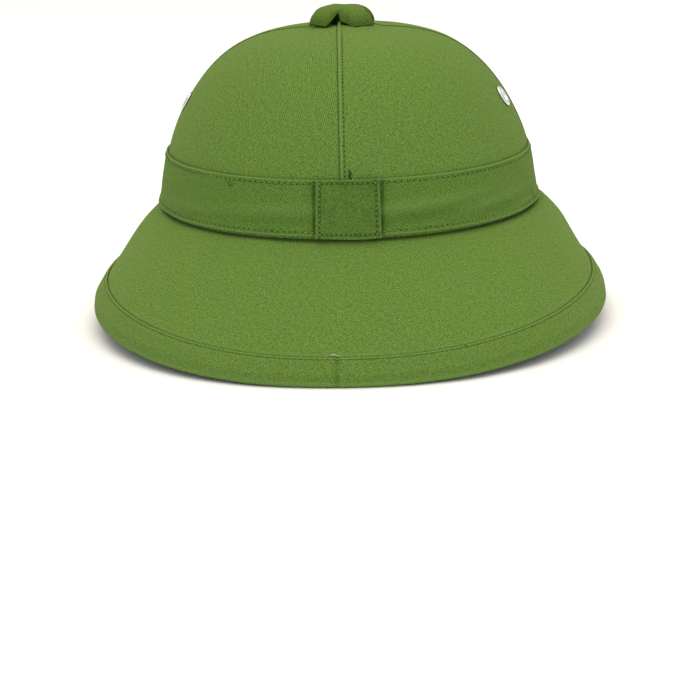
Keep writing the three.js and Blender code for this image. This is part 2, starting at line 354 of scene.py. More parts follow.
def edge_spaced(length: float, fine: float, fine_steps: int, steps: int) -> np.ndarray:
    """Distances from 0 to a length, with fine steps beside both ends.

    Args:
        length: the whole length.
        fine: the size of a fine step.
        fine_steps: how many fine steps lie beside each end.
        steps: how many even steps lie between them.

    Returns:
        The distances.
    """
    beside = np.arange(fine_steps) * fine
    between = np.linspace(fine_steps * fine, length - fine_steps * fine, steps + 1)
    return np.concatenate([beside, between, length - beside[::-1]])


@dataclass
class ClothGrid:
    """A cloth layer as a grid of places on its outer face, from which its closed mesh is made.

    Attributes:
        outer: the outer face, with rows upwards and columns round the helmet.
        inner: the inner face.
        weave: the cloth's own lengths at each place, along and across.
        wear_and_highlight: how pale the outer face is, from 0 to 1: rubbed edges together with painted
            highlights on raised folds, edges and ridges.
        shade: how much painted shade darkens the outer face, from 0 to 1, in creases, grooves and under other
            pieces.
        closed: whether the last column joins the first.
    """

    outer: np.ndarray
    inner: np.ndarray
    weave: np.ndarray
    wear_and_highlight: np.ndarray | None = None
    shade: np.ndarray | None = None
    closed: bool = False

    @property
    def area(self) -> float:
        """The outer face's area."""
        points = np.concatenate([self.outer, self.outer[:, :1]], axis=1) if self.closed else self.outer
        along, up = points[:-1, 1:] - points[:-1, :-1], points[1:, :-1] - points[:-1, :-1]
        return float(np.linalg.norm(np.cross(along, up), axis=-1).sum())

    def _quads(self) -> tuple[np.ndarray, np.ndarray]:
        """The faces' corners among the vertices, and among the places of the weave."""
        rows, columns = self.outer.shape[:2]
        i, j = np.meshgrid(np.arange(rows - 1), np.arange(columns - (not self.closed)), indexing="ij")
        wide = self.weave.shape[1]

        def corners(down: np.ndarray, across: np.ndarray, layer: int) -> tuple[np.ndarray, np.ndarray]:
            """Indices of vertices and of weave places in one layer."""
            return layer * rows * columns + down * columns + across % columns, down * wide + across

        def patch(*around: tuple[np.ndarray, np.ndarray, int]) -> tuple[np.ndarray, np.ndarray]:
            """Faces through four corners."""
            found = [corners(*corner) for corner in around]
            return tuple(np.stack([c[k].ravel() for c in found], axis=1) for k in (0, 1))

        j_rim, i_rim = np.arange(columns - (not self.closed)), np.arange(rows - 1)
        top = np.full_like(j_rim, rows - 1)
        low = np.zeros_like(j_rim)
        parts = [
            patch((i, j, 0), (i, j + 1, 0), (i + 1, j + 1, 0), (i + 1, j, 0)),
            patch((i, j, 1), (i + 1, j, 1), (i + 1, j + 1, 1), (i, j + 1, 1)),
            patch((low, j_rim, 1), (low, j_rim + 1, 1), (low, j_rim + 1, 0), (low, j_rim, 0)),
            patch((top, j_rim, 0), (top, j_rim + 1, 0), (top, j_rim + 1, 1), (top, j_rim, 1)),
        ]
        if not self.closed:
            last = np.full_like(i_rim, columns - 1)
            first = np.zeros_like(i_rim)
            parts += [
                patch((i_rim, first, 0), (i_rim + 1, first, 0), (i_rim + 1, first, 1), (i_rim, first, 1)),
                patch((i_rim, last, 1), (i_rim + 1, last, 1), (i_rim + 1, last, 0), (i_rim, last, 0)),
            ]
        return tuple(np.concatenate([part[k] for part in parts]) for k in (0, 1))

    def make(self, name: str) -> bpy.types.Object:
        """The closed mesh as an object with the weave's map, the attribute of wear with painted highlight,
        and the painted shade attribute.

        Args:
            name: the piece's name.

        Returns:
            The object, in the scene.
        """
        vertices = np.concatenate([self.outer.reshape(-1, 3), self.inner.reshape(-1, 3)])
        faces, places = self._quads()
        if signed_volume(vertices, faces) < 0:
            faces, places = faces[:, ::-1], places[:, ::-1]
        piece = solid_mesh(name, vertices, faces, self.weave.reshape(-1, 2)[places.ravel()])
        # The pale attribute mixes real rubbing with painted highlight; the shade attribute is painted shade.
        for attribute, values in (("wear_and_highlight", self.wear_and_highlight), ("shade", self.shade)):
            outer = np.zeros(self.outer.shape[:2]) if values is None else values
            both = np.concatenate([outer.ravel(), np.zeros(outer.size)])
            layer = piece.data.attributes.new(attribute, "FLOAT", "POINT")
            layer.data.foreach_set("value", both.astype(np.float32))
        return piece


def signed_volume(vertices: np.ndarray, faces: np.ndarray) -> float:
    """The volume inside four-cornered faces, below 0 where they face inwards.

    Args:
        vertices: their places.
        faces: each face's four corners.

    Returns:
        The volume.
    """
    a, b, c, d = (vertices[faces[:, k]] for k in range(4))
    halves = np.einsum("ij,ij->i", a, np.cross(b, c)) + np.einsum("ij,ij->i", a, np.cross(c, d))
    return float(halves.sum()) / 6


def in_scene(name: str, data: bpy.types.ID) -> bpy.types.Object:
    """Puts a new object in the scene.

    Args:
        name: its name.
        data: the mesh, lamp or camera that it shows.

    Returns:
        The object.
    """
    thing = bpy.data.objects.new(name, data)
    bpy.context.scene.collection.objects.link(thing)
    return thing


def smooth(mesh: bpy.types.Mesh) -> bpy.types.Mesh:
    """Shades a mesh smooth.

    Args:
        mesh: the mesh.

    Returns:
        The same mesh.
    """
    mesh.polygons.foreach_set("use_smooth", np.ones(len(mesh.polygons), bool))
    mesh.update()
    return mesh


def solid_mesh(name: str, vertices: np.ndarray, faces: np.ndarray, weave: np.ndarray) -> bpy.types.Object:
    """A smooth mesh object.

    Args:
        name: the piece's name.
        vertices: its places.
        faces: its faces' corners.
        weave: the weave's lengths at each face's corners, in order.

    Returns:
        The object, in the scene.
    """
    mesh = bpy.data.meshes.new(name)
    mesh.from_pydata(vertices.tolist(), [], faces.tolist())
    layer = mesh.uv_layers.new(name=WEAVE_MAP)
    layer.uv.foreach_set("vector", np.ascontiguousarray(weave, np.float32).ravel())
    return in_scene(name, smooth(mesh))


def edge_roll(distance: np.ndarray, thickness: float) -> np.ndarray:
    """How thick a folded edge still is at a distance from it.

    Args:
        distance: distances from the edge.
        thickness: the cloth's thickness.

    Returns:
        Shares of that thickness.
    """
    least = 0.22
    inwards = np.clip(distance / (0.5 * thickness), 0, 1)
    return np.maximum(np.sqrt(1 - (1 - inwards) ** 2), least)


class NodeMaker:
    """Adds nodes to its tree."""

    tree: bpy.types.NodeTree

    def node(self, kind: str, inputs: dict | None = None, **settings: object) -> bpy.types.Node:
        """Adds a node.

        Args:
            kind: its type.
            inputs: numbers or other nodes' sockets, by the input's name or place.
            **settings: the node's own settings.

        Returns:
            The node.
        """
        node = self.tree.nodes.new(kind)
        for key, value in settings.items():
            setattr(node, key, value)
        for key, value in (inputs or {}).items():
            self.feed(node.inputs[key], value)
        return node

    def feed(self, socket: bpy.types.NodeSocket, value: object) -> None:
        """Links or sets an input."""
        if isinstance(value, bpy.types.NodeSocket):
            self.tree.links.new(value, socket)
        else:
            socket.default_value = value


class NodeBoard(NodeMaker):
    """Lays out the shader nodes of one material."""

    def __init__(self, name: str) -> None:
        """Starts a material with its principled shader.

        Args:
            name: the material's name.
        """
        self.material = bpy.data.materials.new(name)
        self.material.use_nodes = True
        self.tree = self.material.node_tree
        self.shader = self.tree.nodes["Principled BSDF"]

    def math(self, operation: str, *values: object) -> bpy.types.NodeSocket:
        """The result of a sum, product or other operation on two or three values."""
        return self.node("ShaderNodeMath", dict(enumerate(values)), operation=operation).outputs[0]

    def mix(self, share: object, first: object, second: object, blend: str = "MIX") -> bpy.types.NodeSocket:
        """A colour between two colours."""
        node = self.node("ShaderNodeMix", {0: share, 6: first, 7: second}, data_type="RGBA", blend_type=blend)
        return node.outputs[2]

    def noise(self, vector: object, scale: float, detail: float = 2.0) -> bpy.types.NodeSocket:
        """A noise from 0 to 1 over places."""
        inputs = {"Vector": vector, "Scale": scale, "Detail": detail}
        return self.node("ShaderNodeTexNoise", inputs).outputs["Fac"]

    def stretched_noise(self, vector: object, scale: Triple, detail: float) -> bpy.types.NodeSocket:
        """A noise from 0 to 1 over places, with its own scale along each axis."""
        stretch = self.node("ShaderNodeMapping", {"Vector": vector, "Scale": scale}).outputs[0]
        return self.noise(stretch, 1.0, detail)

    def attribute(self, name: str) -> bpy.types.NodeSocket:
        """The value of a mesh attribute."""
        return self.node("ShaderNodeAttribute", attribute_name=name).outputs["Fac"]

    def bump(self, height: object, depth: float, strength: float = 1.0) -> bpy.types.NodeSocket:
        """A normal from a height between 0 and 1, at a depth in metres."""
        inputs = {"Height": height, "Distance": depth, "Strength": strength}
        return self.node("ShaderNodeBump", inputs).outputs[0]

    def grey(self, tone: object) -> bpy.types.NodeSocket:
        """A grey of that lightness, as a colour."""
        return self.node("ShaderNodeCombineColor", {0: tone, 1: tone, 2: tone}).outputs[0]

    def finish(
        self, colour: object, roughness: object, normal: object, others: dict[str, object]
    ) -> bpy.types.Material:
        """Feeds the shader.

        Args:
            colour: its colour.
            roughness: its roughness.
            normal: its normal.
            others: its other inputs, by name.

        Returns:
            The material.
        """
        inputs = {"Base Color": colour, "Roughness": roughness, "Normal": normal, **others}
        for name, value in inputs.items():
            self.feed(self.shader.inputs[name], value)
        return self.material


def rgba(colour: Colour) -> tuple[float, float, float, float]:
    """The colour with full opacity."""
    return (*colour, 1.0)


@dataclass(frozen=True)
class Twill:
    """Cotton twill: diagonal ribs crossed by yarns, paler where it is rubbed and where highlights are
    painted, and darker where shade is painted in its creases, grooves and under other pieces.

    Attributes:
        name: the material's name.
        colour: the cloth's colour, linear.
        lean: how steeply the ribs rise to the right, seen from outside, in degrees.
        rib_pitch: the distance from rib to rib.
        yarn_pitch: the distance from yarn to yarn across the ribs.
        rib_contrast: how much lighter a rib is than the valley beside it.
        yarn_contrast: how much lighter a yarn is than the gap beside it.
        fleck: how much the short floats of yarn differ from each other.
        mottle: how much the dye differs from place to place.
        blotch: how much small patches differ.
        relief: how high the weave stands.
        float_size: the length and width of a short float.
        crease: how much darker the painted shade makes the cloth where the shade attribute is full, in its
            deepest creases and grooves.
        rub_and_highlight: how much of the pale colour shows where the cloth is most rubbed and where the
            painted highlight is strongest.
    """

    name: str
    colour: Colour
    lean: float = 52.0
    rib_pitch: float = 0.94 * MM
    yarn_pitch: float = 1.1 * MM
    rib_contrast: float = 0.25
    yarn_contrast: float = 0.2
    fleck: float = 1.7
    mottle: float = 0.05
    blotch: float = 0.04
    relief: float = 0.16 * MM
    float_size: tuple[float, float] = (0.6 * MM, 0.42 * MM)
    crease: float = 0.72
    rub_and_highlight: float = 0.75

    def material(self) -> bpy.types.Material:
        """Builds the material."""
        board = NodeBoard(self.name)
        place = board.node("ShaderNodeUVMap", uv_map=WEAVE_MAP).outputs[0]
        drift = board.math("MULTIPLY", board.noise(place, 240.0, 2.0), 8.0)
        rib = self._waves(board, place, self.lean + 90, self.rib_pitch, drift)
        yarn = self._waves(board, place, self.lean, self.yarn_pitch, drift)
        floats = self._floats(board, place)
        body = board.node("ShaderNodeTexCoord").outputs["Object"]
        cloud, patch = board.noise(body, 22.0, 4.0), board.noise(body, 130.0, 3.0)
        tone = 1.0
        for pattern, contrast in (
            (rib, self.rib_contrast), (yarn, self.yarn_contrast), (floats, self.fleck),
            (cloud, self.mottle), (patch, self.blotch),
        ):
            tone = board.math("MULTIPLY_ADD", board.math("SUBTRACT", pattern, 0.5), contrast, tone)
        # Painted shade: the shade attribute darkens the colour in creases, grooves and under other pieces.
        unshaded = board.math("MULTIPLY_ADD", board.attribute("shade"), -self.crease, 1.0)
        tone = board.math("MULTIPLY", tone, unshaded)
        red, green, blue = self.colour
        hue = board.math("MULTIPLY_ADD", board.noise(body, 110.0, 3.0), 2.0, -0.5)
        dye = board.mix(hue, rgba((red * 1.03, green, blue * 0.88)), rgba((red * 0.97, green, blue * 1.12)))
        colour = board.mix(1.0, dye, board.grey(tone), "MULTIPLY")
        # Pale mix for rubbed edges and for painted highlights on raised folds, edges and ridges.
        pale = tuple(1.4 * c + 0.03 for c in self.colour)
        colour = board.mix(board.math("MULTIPLY", board.attribute("wear_and_highlight"), self.rub_and_highlight), colour, rgba(pale))
        height = board.math("MULTIPLY_ADD", yarn, 0.35, board.math("MULTIPLY", rib, 0.65))
        height = board.math("MULTIPLY_ADD", floats, 0.5, height)
        rough = board.math("MULTIPLY_ADD", floats, 0.16, 0.8)
        nap = {"Specular IOR Level": 0.08, "Sheen Weight": 0.06, "Sheen Roughness": 0.5,
               "Sheen Tint": rgba((0.85, 0.62, 0.3))}
        return board.finish(colour, rough, board.bump(height, self.relief), nap)

    def _waves(
        self, board: NodeBoard, place: object, turn: float, pitch: float, drift: object
    ) -> bpy.types.NodeSocket:
        """Even ridges from 0 to 1 across a direction.

        Args:
            board: the material's nodes.
            place: the place on the cloth.
            turn: the direction that the waves follow each other in, in degrees.
            pitch: the distance from ridge to ridge.
            drift: a slow wander of the ridges, in radians.

        Returns:
            The ridges' height.
        """
        turn, wave = math.radians(turn), 2 * math.pi / pitch
        run = (math.cos(turn) * wave, math.sin(turn) * wave, 0.0)
        across = board.node("ShaderNodeVectorMath", {0: place, 1: run}, operation="DOT_PRODUCT")
        phase = board.math("ADD", across.outputs["Value"], drift)
        return board.math("MULTIPLY_ADD", board.math("SINE", phase), 0.5, 0.5)

    def _floats(self, board: NodeBoard, place: object) -> bpy.types.NodeSocket:
        """The short floats of yarn along the ribs, strongest at their own size.

        Args:
            board: the material's nodes.
            place: the place on the cloth.

        Returns:
            The floats' lightness, from 0 to 1.
        """
        turn = (0, 0, math.radians(self.lean))
        inputs = {"Vector": place, "Rotation": turn, "Scale": (*self.float_size, 1.0)}
        mapped = board.node("ShaderNodeMapping", inputs, vector_type="TEXTURE").outputs[0]
        inputs = {"Vector": mapped, "Scale": 1.0, "Detail": 2.0, "Roughness": 0.5, "Lacunarity": 0.5}
        return board.node("ShaderNodeTexNoise", inputs, noise_dimensions="2D").outputs["Fac"]


@dataclass(frozen=True)
class PressedPulp:
    """The shell's pressed pulp: matt, slightly mottled and faintly fibrous."""

    name: str = "pressed_pulp"
    colour: Colour = (0.46, 0.41, 0.31)

    def material(self) -> bpy.types.Material:
        """Builds the material."""
        board = NodeBoard(self.name)
        place = board.node("ShaderNodeTexCoord").outputs["Object"]
        cloud = board.noise(place, 35.0, 5.0)
        fibre = board.stretched_noise(place, (260.0, 420.0, 900.0), 4.0)
        tone = board.math("MULTIPLY_ADD", board.math("SUBTRACT", cloud, 0.5), 0.35, 1.0)
        tone = board.math("MULTIPLY_ADD", board.math("SUBTRACT", fibre, 0.5), 0.3, tone)
        colour = board.mix(1.0, rgba(self.colour), board.grey(tone), "MULTIPLY")
        rough = board.math("MULTIPLY_ADD", cloud, 0.2, 0.78)
        return board.finish(colour, rough, board.bump(fibre, 0.25 * MM), {"Specular IOR Level": 0.25})


@dataclass(frozen=True)
class PlatedMetal:
    """The eyelets' bright plated metal, finely scratched and a little dull in places."""

    name: str = "plated_metal"
    colour: Colour = (0.78, 0.78, 0.77)

    def material(self) -> bpy.types.Material:
        """Builds the material."""
        board = NodeBoard(self.name)
        place = board.node("ShaderNodeTexCoord").outputs["Object"]
        scratch = board.stretched_noise(place, (900.0, 4000.0, 1500.0), 3.0)
        dull = board.noise(place, 600.0, 3.0)
        tone = board.math("MULTIPLY_ADD", dull, 0.35, 0.8)
        colour = board.mix(1.0, rgba(self.colour), board.grey(tone), "MULTIPLY")
        rough = board.math("MULTIPLY_ADD", dull, 0.25, 0.16)
        return board.finish(colour, rough, board.bump(scratch, 0.03 * MM, 0.5), {"Metallic": 1.0})


@dataclass(frozen=True)
class SewingThread:
    """A twisted thread, of one colour with slightly lighter strands."""

    name: str
    colour: Colour
    twist_pitch: float = 0.5 * MM

    def material(self) -> bpy.types.Material:
        """Builds the material."""
        board = NodeBoard(self.name)
        place = board.node("ShaderNodeTexCoord").outputs["Object"]
        inputs = {"Vector": place, "Scale": 1 / self.twist_pitch, "Distortion": 1.5, "Detail": 1.0}
        twist = board.node("ShaderNodeTexWave", inputs, bands_direction="DIAGONAL").outputs["Fac"]
        tone = board.math("MULTIPLY_ADD", twist, 0.3, 0.85)
        colour = board.mix(1.0, rgba(self.colour), board.grey(tone), "MULTIPLY")
        rough = board.math("MULTIPLY_ADD", twist, 0.15, 0.6)
        return board.finish(colour, rough, board.bump(twist, 0.05 * MM), {"Specular IOR Level": 0.1})


@dataclass(frozen=True)
class Finishes:
    """Every finish of the helmet, each made once."""

    crown_cloth: bpy.types.Material
    brim_cloth: bpy.types.Material
    binding_cloth: bpy.types.Material
    band_cloth: bpy.types.Material
    keeper_cloth: bpy.types.Material
    cap_cloth: bpy.types.Material
    shell: bpy.types.Material
    metal: bpy.types.Material
    thread: bpy.types.Material
    dark_thread: bpy.types.Material
    lint: bpy.types.Material
    # The needle holes' near-black finish is painted shade of the pits.
    pit: bpy.types.Material

    @classmethod
    def make(cls) -> Finishes:
        """Builds all the materials."""
        cloths = {
            "crown": Twill("crown_twill", (0.107, 0.198, 0.034), 35.0, 0.76 * MM, 0.78 * MM, 0.5, 0.5),
            "brim": Twill("brim_twill", (0.112, 0.205, 0.035), rib_contrast=0.52, yarn_contrast=0.16),
            "binding": Twill("binding_twill", (0.107, 0.193, 0.034), lean=35.0),
            "band": Twill("band_twill", (0.088, 0.173, 0.0275), rib_contrast=0.75, yarn_contrast=0.4),
            "keeper": Twill("keeper_twill", (0.0745, 0.149, 0.024), lean=47.0, blotch=0.5),
            "cap": Twill("cap_twill", (0.087, 0.157, 0.0253), lean=30.0, rib_contrast=0.12),
        }
        return cls(
            **{f"{part}_cloth": cloth.material() for part, cloth in cloths.items()},
            shell=PressedPulp().material(),
            metal=PlatedMetal().material(),
            thread=SewingThread("green_thread", (0.125, 0.225, 0.045)).material(),
            dark_thread=SewingThread("dark_thread", (0.03, 0.06, 0.012)).material(),
            lint=SewingThread("pale_lint", (0.42, 0.5, 0.32)).material(),
            # Painted shade: the near-black finish of the needle-hole beads stands in for the pits' shade.
            pit=SewingThread("needle_hole_shade", (0.015, 0.035, 0.005)).material(),
        )


@dataclass(frozen=True)
class StitchSize:
    """A stitch and how far apart stitches are."""

    pitch: float = 3.2 * MM
    length: float = 2.2 * MM
    radius: float = 0.26 * MM
    rise: float = 0.22 * MM
    seed: int = 1


class StitchTree(NodeMaker):
    """The node tree that sews thread stitches along a line on the cloth."""

    FACING = "facing"

    def __init__(self) -> None:
        """Builds the tree and keeps the identifiers of its inputs."""
        self.tree = bpy.data.node_groups.new("stitch_row", "GeometryNodeTree")
        self.inputs: dict[str, str] = {}
        self._socket("Line", "NodeSocketGeometry")
        for name in ("Pitch", "Length", "Thread radius", "Rise"):
            self._socket(name, "NodeSocketFloat")
        self._socket("Seed", "NodeSocketInt")
        self._socket("Thread", "NodeSocketMaterial")
        self._socket("Needle hole shade", "NodeSocketMaterial")
        self.tree.interface.new_socket("Stitches", in_out="OUTPUT", socket_type="NodeSocketGeometry")
        self._build()

    def _socket(self, name: str, kind: str) -> None:
        """Adds a named input."""
        socket = self.tree.interface.new_socket(name, in_out="INPUT", socket_type=kind)
        self.inputs[name] = socket.identifier

    def _scaled(self, value: bpy.types.NodeSocket, factor: float) -> bpy.types.NodeSocket:
        """A value times a factor."""
        return self.node("ShaderNodeMath", {0: value, 1: factor}, operation="MULTIPLY").outputs[0]

    def _random(self, given: bpy.types.Node, least: Triple, most: Triple) -> bpy.types.NodeSocket:
        """Three random numbers for each stitch, each between its least and its most."""
        inputs = {0: least, 1: most, "Seed": given.outputs["Seed"]}
        return self.node("FunctionNodeRandomValue", inputs, data_type="FLOAT_VECTOR").outputs[0]

    def _stitch(self, given: bpy.types.Node) -> bpy.types.NodeSocket:
        """One stitch: a short thread that rises between its two needle holes.

        Args:
            given: the tree's inputs.

        Returns:
            The stitch and the painted shade of the needle hole beside it.
        """
        rise = given.outputs["Rise"]
        ends = []
        for side in (-0.5, 0.5):
            inputs = {0: self._scaled(given.outputs["Length"], side), 2: self._scaled(rise, -1.2)}
            ends.append(self.node("ShaderNodeCombineXYZ", inputs).outputs[0])
        crest = self.node("ShaderNodeCombineXYZ", {2: self._scaled(rise, 3.2)})
        inputs = {"Resolution": 5, "Start": ends[0], "Middle": crest.outputs[0], "End": ends[1]}
        arch = self.node("GeometryNodeCurveQuadraticBezier", inputs)
        ring = self.node(
            "GeometryNodeCurvePrimitiveCircle", {"Resolution": 6, "Radius": given.outputs["Thread radius"]}
        )
        inputs = {"Curve": arch.outputs[0], "Profile Curve": ring.outputs[0], "Fill Caps": True}
        dash = self.node("GeometryNodeCurveToMesh", inputs)
        inputs = {"Geometry": dash.outputs[0], "Material": given.outputs["Thread"]}
        thread = self.node("GeometryNodeSetMaterial", inputs)
        join = self.node("GeometryNodeJoinGeometry", {0: thread.outputs[0]})
        self.tree.links.new(self._needle_hole_shade(given), join.inputs[0])
        return join.outputs[0]

    def _needle_hole_shade(self, given: bpy.types.Node) -> bpy.types.NodeSocket:
        """Painted shade of the pit between two stitches: a flat dark bead that lies in the cloth.

        Args:
            given: the tree's inputs.

        Returns:
            The bead.
        """
        gap = self.node(
            "ShaderNodeMath", {0: given.outputs["Pitch"], 1: given.outputs["Length"]}, operation="SUBTRACT"
        ).outputs[0]
        bead = self.node("GeometryNodeMeshIcoSphere", {"Radius": 1.0, "Subdivisions": 1})
        place = self.node("ShaderNodeCombineXYZ", {0: self._scaled(given.outputs["Pitch"], 0.5)})
        size = self.node(
            "ShaderNodeCombineXYZ",
            {0: self._scaled(gap, 0.6), 1: self._scaled(given.outputs["Thread radius"], 1.5), 2: 0.12 * MM},
        )
        inputs = {"Geometry": bead.outputs[0], "Translation": place.outputs[0], "Scale": size.outputs[0]}
        placed = self.node("GeometryNodeTransform", inputs)
        inputs = {"Geometry": placed.outputs[0], "Material": given.outputs["Needle hole shade"]}
        return self.node("GeometryNodeSetMaterial", inputs).outputs[0]

    def _build(self) -> None:
        """Joins the nodes: the line becomes even points, and each gets a stitch that lies on the cloth."""
        given = self.node("NodeGroupInput")
        curve = self.node("GeometryNodeMeshToCurve", {0: given.outputs["Line"]})
        points = self.node(
            "GeometryNodeResampleCurve",
            {"Curve": curve.outputs[0], "Length": given.outputs["Pitch"]},
            mode="LENGTH",
        )
        tangent = self.node("GeometryNodeInputTangent")
        inputs = {"Name": self.FACING}
        facing = self.node("GeometryNodeInputNamedAttribute", inputs, data_type="FLOAT_VECTOR")
        along = self.node("FunctionNodeAlignRotationToVector", {"Vector": tangent.outputs[0]}, axis="X")
        flat = self.node(
            "FunctionNodeAlignRotationToVector",
            {"Rotation": along.outputs[0], "Vector": facing.outputs[0]},
            axis="Z",
            pivot_axis="X",
        )
        wander = self._random(given, (-0.05, -0.05, -0.14), (0.05, 0.05, 0.14))
        turned = self.node(
            "FunctionNodeRotateRotation",
            {"Rotation": flat.outputs[0], "Rotate By": wander},
            rotation_space="LOCAL",
        )
        size = self._random(given, (0.85, 0.9, 0.85), (1.1, 1.1, 1.15))
        placed = self.node(
            "GeometryNodeInstanceOnPoints",
            {
                "Points": points.outputs[0],
                "Instance": self._stitch(given),
                "Rotation": turned.outputs[0],
                "Scale": size,
            },
        )
        real = self.node("GeometryNodeRealizeInstances", {0: placed.outputs[0]})
        soft = self.node("GeometryNodeSetShadeSmooth", {0: real.outputs[0]})
        self.node("NodeGroupOutput", {0: soft.outputs[0]})

    def sew(
        self, name: str, lines: list[Line], size: StitchSize, finishes: Finishes, slot: Slot
    ) -> bpy.types.Object:
        """Sews stitches along lines.

        Args:
            name: the piece's name.
            lines: each line's points and the directions that the cloth faces there.
            size: the stitch's size.
            finishes: the finishes, of which it uses the thread's and the needle holes' painted shade.
            slot: the record's slot for the stitches, passed on to settle.

        Returns:
            A plain mesh of all the stitches.
        """
        mesh = bpy.data.meshes.new(name + "_line")
        points, edges = [], []
        for places, _ in lines:
            start = len(points)
            points += places.tolist()
            edges += [(k, k + 1) for k in range(start, len(points) - 1)]
        mesh.from_pydata(points, edges, [])
        facing = mesh.attributes.new(self.FACING, "FLOAT_VECTOR", "POINT")
        directions = np.concatenate([normals for _, normals in lines])
        facing.data.foreach_set("vector", directions.astype(np.float32).ravel())
        line_piece = in_scene(name + "_line", mesh)
        modifier = line_piece.modifiers.new("stitches", "NODES")
        modifier.node_group = self.tree
        values = {
            "Pitch": size.pitch,
            "Length": size.length,
            "Thread radius": size.radius,
            "Rise": size.rise,
            "Seed": size.seed,
            "Thread": finishes.thread,
            "Needle hole shade": finishes.pit,
        }
        for key, value in values.items():
            modifier[self.inputs[key]] = value
        return settle(plain_copy(line_piece, name), slot)


def evaluated_mesh(source: bpy.types.Object) -> bpy.types.Mesh:
    """A plain mesh of the object as its modifiers leave it.

    Args:
        source: the object.

    Returns:
        The mesh.
    """
    bpy.context.view_layer.update()
    graph = bpy.context.evaluated_depsgraph_get()
    return bpy.data.meshes.new_from_object(
        source.evaluated_get(graph), preserve_all_data_layers=True, depsgraph=graph
    )


def plain_copy(source: bpy.types.Object, name: str) -> bpy.types.Object:
    """The evaluated object as a plain mesh in the scene. The source is removed.

    Args:
        source: the object with its modifiers.
        name: the new object's name.

    Returns:
        The new object.
    """
    mesh = evaluated_mesh(source)
    mesh.name = name
    source.modifiers.clear()
    bpy.data.objects.remove(source)
    return in_scene(name, mesh)


def settle(piece: bpy.types.Object, slot: Slot, *nodes: str) -> bpy.types.Object:
    """Lets a finished piece ride on the helmet and stand for its solids.

    Args:
        piece: the finished piece.
        slot: the record's slot for the piece. It is not used.
        *nodes: the solids that it replaces.

    Returns:
        The piece.
    """
    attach(piece, ROOT)
    if nodes:
        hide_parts(*nodes)
    log.info("%s: %d faces", piece.name, len(piece.data.polygons))
    return piece


def tube(points: np.ndarray, radius: np.ndarray, sides: int) -> tuple[np.ndarray, np.ndarray]:
    """A tube along a line, open at both ends.

    Args:
        points: the line's places.
        radius: the tube's radius at each place.
        sides: how many sides it has.

    Returns:
        Its vertices, and its faces' four corners.
    """
    tangent = unit(np.gradient(points, axis=0))
    helper = np.array([0.3, 0.2, 1.0])
    across = unit(np.cross(tangent, helper))
    lift = np.cross(tangent, across)
    turn = turns(sides)
    ring = np.cos(turn)[:, None] * across[:, None, :] + np.sin(turn)[:, None] * lift[:, None, :]
    vertices = (points[:, None, :] + ring * radius[:, None, None]).reshape(-1, 3)
    faces = []
    for i in range(len(points) - 1):
        for j in range(sides):
            k = (j + 1) % sides
            faces.append((i * sides + j, i * sides + k, (i + 1) * sides + k, (i + 1) * sides + j))
    return vertices, np.array(faces)


def spline(points: np.ndarray, count: int) -> np.ndarray:
    """A smooth line through a few points.

    Args:
        points: the points.
        count: how many places the line gets.

    Returns:
        The places.
    """
    points = np.asarray(points, float)
    padded = np.concatenate([[2 * points[0] - points[1]], points, [2 * points[-1] - points[-2]]])
    place = np.linspace(0, len(points) - 1 - 1e-9, count)
    index = place.astype(int)
    share = (place - index)[:, None]
    a, b, c, d = (padded[index + k] for k in range(4))
    return 0.5 * (
        2 * b + (c - a) * share + (2 * a - 5 * b + 4 * c - d) * share**2 + (3 * (b - c) + d - a) * share**3
    )


@dataclass
class Shell:
    """The moulded shell: crown and brim in one, open below, with a vent hole at the top."""

    form: HelmetForm
    layers: Layers
    vent_share: float = 0.08
    columns: int = 240
    rows_up: int = 90

    def make(self, finishes: Finishes, eyelets: list[Eyelet]) -> bpy.types.Object:
        """Builds the shell and cuts the eyelets' holes.

        Args:
            finishes: the materials.
            eyelets: the eyelets that go through it.

        Returns:
            The finished piece.
        """
        angles = turns(self.columns)
        rows = np.concatenate(
            [
                self.form.even_rows(EDGE, CREASE, self.rows_up // 2)[:-1],
                self.form.even_rows(CREASE, self.form.crown_row(self.vent_share), self.rows_up // 2),
            ]
        )
        angle, row = np.meshgrid(angles, rows)
        climb = path_lengths(self.form.point(0.0, rows)[:, None], 0)[:, 0]
        rim = np.minimum(climb, climb[-1] - climb)[:, None]
        middle = (self.layers.shell_outside + self.layers.shell_inside) / 2
        half = self.layers.shell / 2 * edge_roll(rim, self.layers.shell)
        wide = np.linspace(0, 2 * math.pi, self.columns + 1) * self.form.crease.half_width
        weave = np.stack(np.broadcast_arrays(wide[None, :], climb[:, None]), axis=-1)
        grid = ClothGrid(
            outer=self.form.offset(angle, row, middle + half),
            inner=self.form.offset(angle, row, middle - half),
            weave=weave,
            closed=True,
        )
        piece = grid.make("moulded_shell")
        piece.data.materials.append(finishes.shell)
        for eyelet in eyelets:
            eyelet.drill(piece)
        return settle(piece, Slot.SHELL, "helmet_shell")


